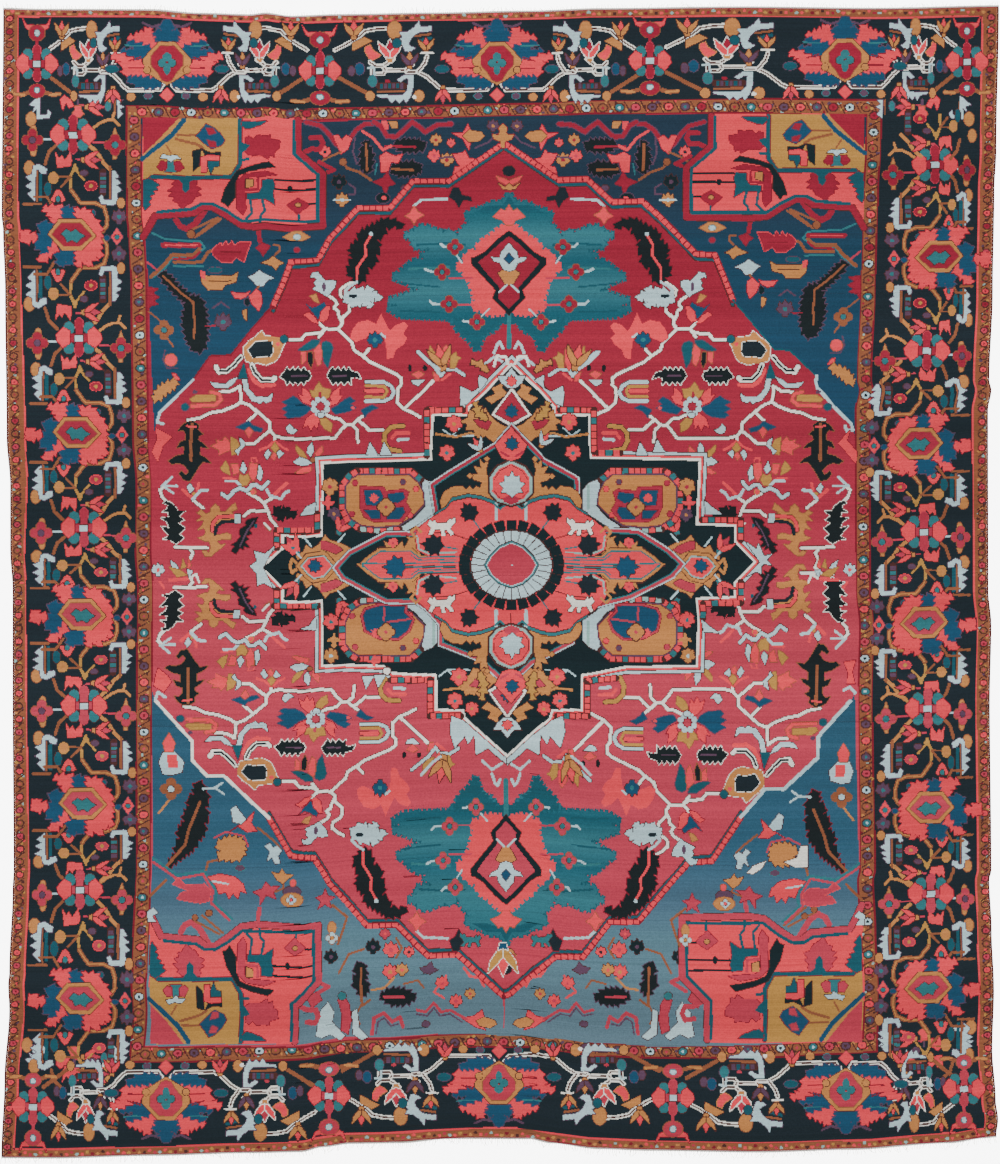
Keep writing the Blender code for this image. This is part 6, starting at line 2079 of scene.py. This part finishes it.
def add_ground_cloth(material, colours):
    points, corners, starts, middle_columns, middle_rows, wall_count, rim_count = ground_cloth()
    item = mesh_from("knotted_ground", points, corners, starts, material)
    wool = chart[np.ix_(middle_rows, middle_columns)].astype(int)
    seen = colours[middle_rows[:, None], wool].reshape(-1, 3)
    seen = seen * 0.86 + 0.05
    tints = np.concatenate([
        np.repeat(seen, 4, axis=0),
        np.tile(colours[600, NUMBER["rust"]], (wall_count * 4 + rim_count, 1)),
    ])
    layer = item.data.attributes.new("wool", "BYTE_COLOR", "CORNER")
    shown = np.ones((len(corners), 4), np.float32)
    shown[:, :3] = tints.clip(0.0, 1.0)
    layer.data.foreach_set("color_srgb", shown.ravel())
    return item


def tubes(name, paths, reach, sides, material, taper=0.6):
    """Many thin round threads as one mesh. Each path is an array of points; reach is one half width each."""
    points, loops, starts = [], [], []
    used = 0
    total = 0
    angles = np.arange(sides) / sides * math.tau
    for path, half in zip(paths, reach):
        path = np.asarray(path, float)
        run = np.gradient(path, axis=0)
        run /= np.linalg.norm(run, axis=1)[:, None]
        aside = np.stack([-run[:, 1], run[:, 0], np.zeros(len(path))], axis=1)
        aside /= np.maximum(np.linalg.norm(aside, axis=1), 1e-9)[:, None]
        upward = np.cross(run, aside)
        size = half * np.interp(np.arange(len(path)), (0, len(path) - 1), (1.0, taper))
        ring = path[:, None] + size[:, None, None] * (
            np.cos(angles)[None, :, None] * aside[:, None] + np.sin(angles)[None, :, None] * upward[:, None]
        )
        points.append(ring.reshape(-1, 3))
        here = used + np.arange(len(path) * sides).reshape(len(path), sides)
        turned = np.roll(here, -1, axis=1)
        faces = np.stack([here[:-1], here[1:], turned[1:], turned[:-1]], axis=-1).reshape(-1, 4)
        for face_set in (faces.ravel(), here[0], here[-1][::-1]):
            loops.append(face_set)
        starts.append(total + np.arange(len(faces)) * 4)
        starts.append([total + len(faces) * 4, total + len(faces) * 4 + sides])
        total += len(faces) * 4 + 2 * sides
        used += len(path) * sides
    return mesh_from(name, np.concatenate(points), np.concatenate(loops), np.concatenate(starts), material)


def end_run(at_top, columns, outward):
    """Places along an end of the rug, this far out from the pile's edge, in metres."""
    row = np.full(np.shape(columns), float(TOP if at_top else BOTTOM))
    x, y, _ = laid_out(columns, row)
    return x, y + (outward if at_top else -outward)


def end_strip(name, at_top, material):
    """The narrow flat-woven strip that the fringe hangs from."""
    columns = np.linspace(LEFT, RIGHT, 330)
    profile = ((0.0, 0.0), (0.0, 0.85), (0.12, 1.0), (0.88, 0.94), (1.0, 0.7), (1.0, 0.0))
    rings = []
    for share, rise in profile:
        x, y = end_run(at_top, columns, FIT_GAP + share * STRIP_WIDTH)
        height = STRIP_THICKNESS * rise * (0.93 + 0.07 * np.cos(np.arange(len(columns)) * math.pi))
        rings.append(np.stack([x, y, height], axis=1))
    points = np.stack(rings, axis=1).reshape(-1, 3)
    wide = len(profile)
    index = np.arange(len(points)).reshape(-1, wide)
    turned = np.roll(index, -1, axis=1)
    faces = np.stack([index[:-1], turned[:-1], turned[1:], index[1:]], axis=-1).reshape(-1, 4)
    if not at_top:
        faces = faces[:, ::-1]
    ends = [index[0][::-1], index[-1]] if at_top else [index[0], index[-1][::-1]]
    loops = np.concatenate([faces.ravel(), *ends])
    starts = np.append(np.arange(len(faces)) * 4, [len(faces) * 4, len(faces) * 4 + wide])
    return mesh_from(name, points, loops, starts, material)


def fringe(name, at_top, lengths, material):
    """Loose warp ends, two by two, lying where they fall."""
    paths, reach = [], []
    out = 1.0 if at_top else -1.0
    columns = np.arange(LEFT + 1.5, RIGHT - 1.0, WARP_SPACING)
    columns = columns + chance.normal(0.0, 0.25, len(columns))
    bunches = np.arange(LEFT, RIGHT + 12, 11.0)
    gather = np.interp(columns, bunches, chance.normal(0.0, 0.42, len(bunches)))
    stretches = np.arange(LEFT, RIGHT + 26, 25.0)
    long_here = np.interp(columns, stretches, chance.uniform(*lengths, len(stretches)))
    root_x, root_y = end_run(at_top, columns, FIT_GAP + STRIP_WIDTH - WARP_TUCK)
    (left_x, right_x), _ = end_run(at_top, np.array([LEFT, RIGHT]), 0.0)
    shares = np.array([0.0, 0.18, 0.42, 0.7, 1.0])
    for x, y, lean, length in zip(root_x, root_y, gather, long_here):
        length = length * chance.uniform(0.55, 1.12)
        lean = lean + chance.normal(0.0, 0.22)
        curl = chance.normal(0.0, 0.28)
        side = shares * math.sin(lean) + shares**2 * curl
        away = shares * math.cos(lean)
        height = 0.0009 + 0.0012 * np.array([1.0, 0.8, 0.35, 0.1, 0.0]) + chance.uniform(0.0, 0.0007)
        across = np.clip(x + side * length, left_x - 0.001, right_x + 0.001)
        paths.append(np.stack([across, y + out * away * length, height], axis=1))
        reach.append(chance.uniform(*WARP_HALF_WIDTH))
    return tubes(name, paths, reach, 4, material)


def side_cord(name, at_left, material):
    """The overcast edge: a round cord wrapped tightly with wool."""
    wraps, sides = 760, 10
    along = np.linspace(TOP, BOTTOM, wraps * 2 + 1)
    column = np.full(len(along), float(LEFT if at_left else RIGHT))
    inward = 1.0 if at_left else -1.0
    x, y, _ = laid_out(column, along)
    radius = SIDE_CORD / 2.0 - 0.0002
    turns = np.where(np.arange(len(along)) % 2, 1.0, 0.9)
    size = radius * turns * (1.0 + 0.03 * chance.normal(0.0, 1.0, len(along)))
    size = np.minimum(size, radius * 1.04)
    angles = np.arange(sides) / sides * math.tau
    across = x[:, None] + inward * SIDE_CORD / 2.0 + size[:, None] * np.cos(angles)
    slant = 0.0011 * np.sin(angles)[None, :] * inward
    upward = SIDE_CORD / 2.0 + size[:, None] * np.sin(angles)
    points = np.stack([across, y[:, None] + slant, upward], axis=-1).reshape(-1, 3)
    index = np.arange(len(points)).reshape(-1, sides)
    turned = np.roll(index, -1, axis=1)
    faces = np.stack([index[:-1], turned[:-1], turned[1:], index[1:]], axis=-1).reshape(-1, 4)
    loops = np.concatenate([faces.ravel(), index[0][::-1], index[-1]])
    starts = np.append(np.arange(len(faces)) * 4, [len(faces) * 4, len(faces) * 4 + sides])
    return mesh_from(name, points, loops, starts, material)


draw_chart()
colours = wool_colours()
lines = boundary_columns()

pile = rug_material("pile_wool", attribute="wool", bumps=((420.0, 0.0012), (1500.0, 0.0005)))
woven = rug_material("woven_back", attribute="wool", bumps=((500.0, 0.0006),))
cotton = rug_material("warp_yarn", rough=0.88, colour=linear(226, 222, 212), bumps=((2200.0, 0.0003),))
overcast = rug_material("overcast_wool", colour=linear(96, 52, 50), bumps=((1200.0, 0.0004),))

edges = np.linspace(TOP, BOTTOM, BANDS + 1).round().astype(int)
for number in range(BANDS):
    band = pile_band(number + 1, edges[number], edges[number + 1], lines, colours, pile)
    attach(band, "root")
    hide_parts("rug_body")

ground = add_ground_cloth(woven, colours)
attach(ground, "root")
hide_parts("rug_body")

for name, at_left in (("left", True), ("right", False)):
    cord = side_cord(f"overcast_side_{name}", at_left, overcast)
    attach(cord, "root")
    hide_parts(f"selvedge_{name}")
for name, at_top, lengths in (("top", True, (0.009, 0.019)), ("bottom", False, (0.014, 0.025))):
    strip = end_strip(f"woven_strip_{name}", at_top, cotton)
    yarns = fringe(f"warp_ends_{name}", at_top, lengths, cotton)
    for item in (strip, yarns):
        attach(item, "root")
        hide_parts(f"fringe_{name}")

FLOOR = 9.0
floor_shape = bpy.data.meshes.new("studio_floor")
floor_corners = [(-FLOOR, -FLOOR, 0), (FLOOR, -FLOOR, 0), (FLOOR, FLOOR, 0), (-FLOOR, FLOOR, 0)]
floor_shape.from_pydata(floor_corners, [], [(0, 1, 2, 3)])
floor = bpy.data.objects.new("studio_floor", floor_shape)
bpy.context.scene.collection.objects.link(floor)
floor.location.z = -0.0006
floor_paint = bpy.data.materials.new("studio_paint")
floor_paint.use_nodes = True
paint = floor_paint.node_tree.nodes["Principled BSDF"].inputs
paint["Base Color"].default_value = (0.95, 0.95, 0.95, 1.0)
paint["Roughness"].default_value = 0.8
paint["Emission Color"].default_value = (1.0, 1.0, 1.0, 1.0)
paint["Emission Strength"].default_value = 7.0
floor_shape.materials.append(floor_paint)

world = bpy.data.worlds.new("studio_air")
bpy.context.scene.world = world
world.use_nodes = True
world.node_tree.nodes["Background"].inputs["Color"].default_value = (1.0, 1.0, 1.0, 1.0)
world.node_tree.nodes["Background"].inputs["Strength"].default_value = 0.85

for name, place, power, size in (
    # name, place_m, power_w, size_m
    ("key_light", (-2.6, 3.2, 5.2), 210.0, 3.0),
    ("fill_light", (3.4, -2.4, 5.6), 90.0, 4.0),
):
    lamp = bpy.data.lights.new(name, "AREA")
    lamp.energy = power
    lamp.size = size
    holder = bpy.data.objects.new(name, lamp)
    bpy.context.scene.collection.objects.link(holder)
    holder.location = place
    reach = math.hypot(place[0], place[1])
    holder.rotation_euler = (math.atan2(reach, place[2]), 0.0, math.atan2(place[0], -place[1]))

DISTANCE = 9.0
SENSOR = 24.0
eye = bpy.data.cameras.new("overhead")
eye.sensor_fit = "VERTICAL"
eye.sensor_height = SENSOR
eye.lens = SENSOR * DISTANCE / (CHART_ROWS * KNOT)
eye.clip_end = 60.0
camera = bpy.data.objects.new("overhead", eye)
bpy.context.scene.collection.objects.link(camera)
camera.location = (SHIFT_X, SHIFT_Y, PILE_TOP + DISTANCE)
bpy.context.scene.camera = camera
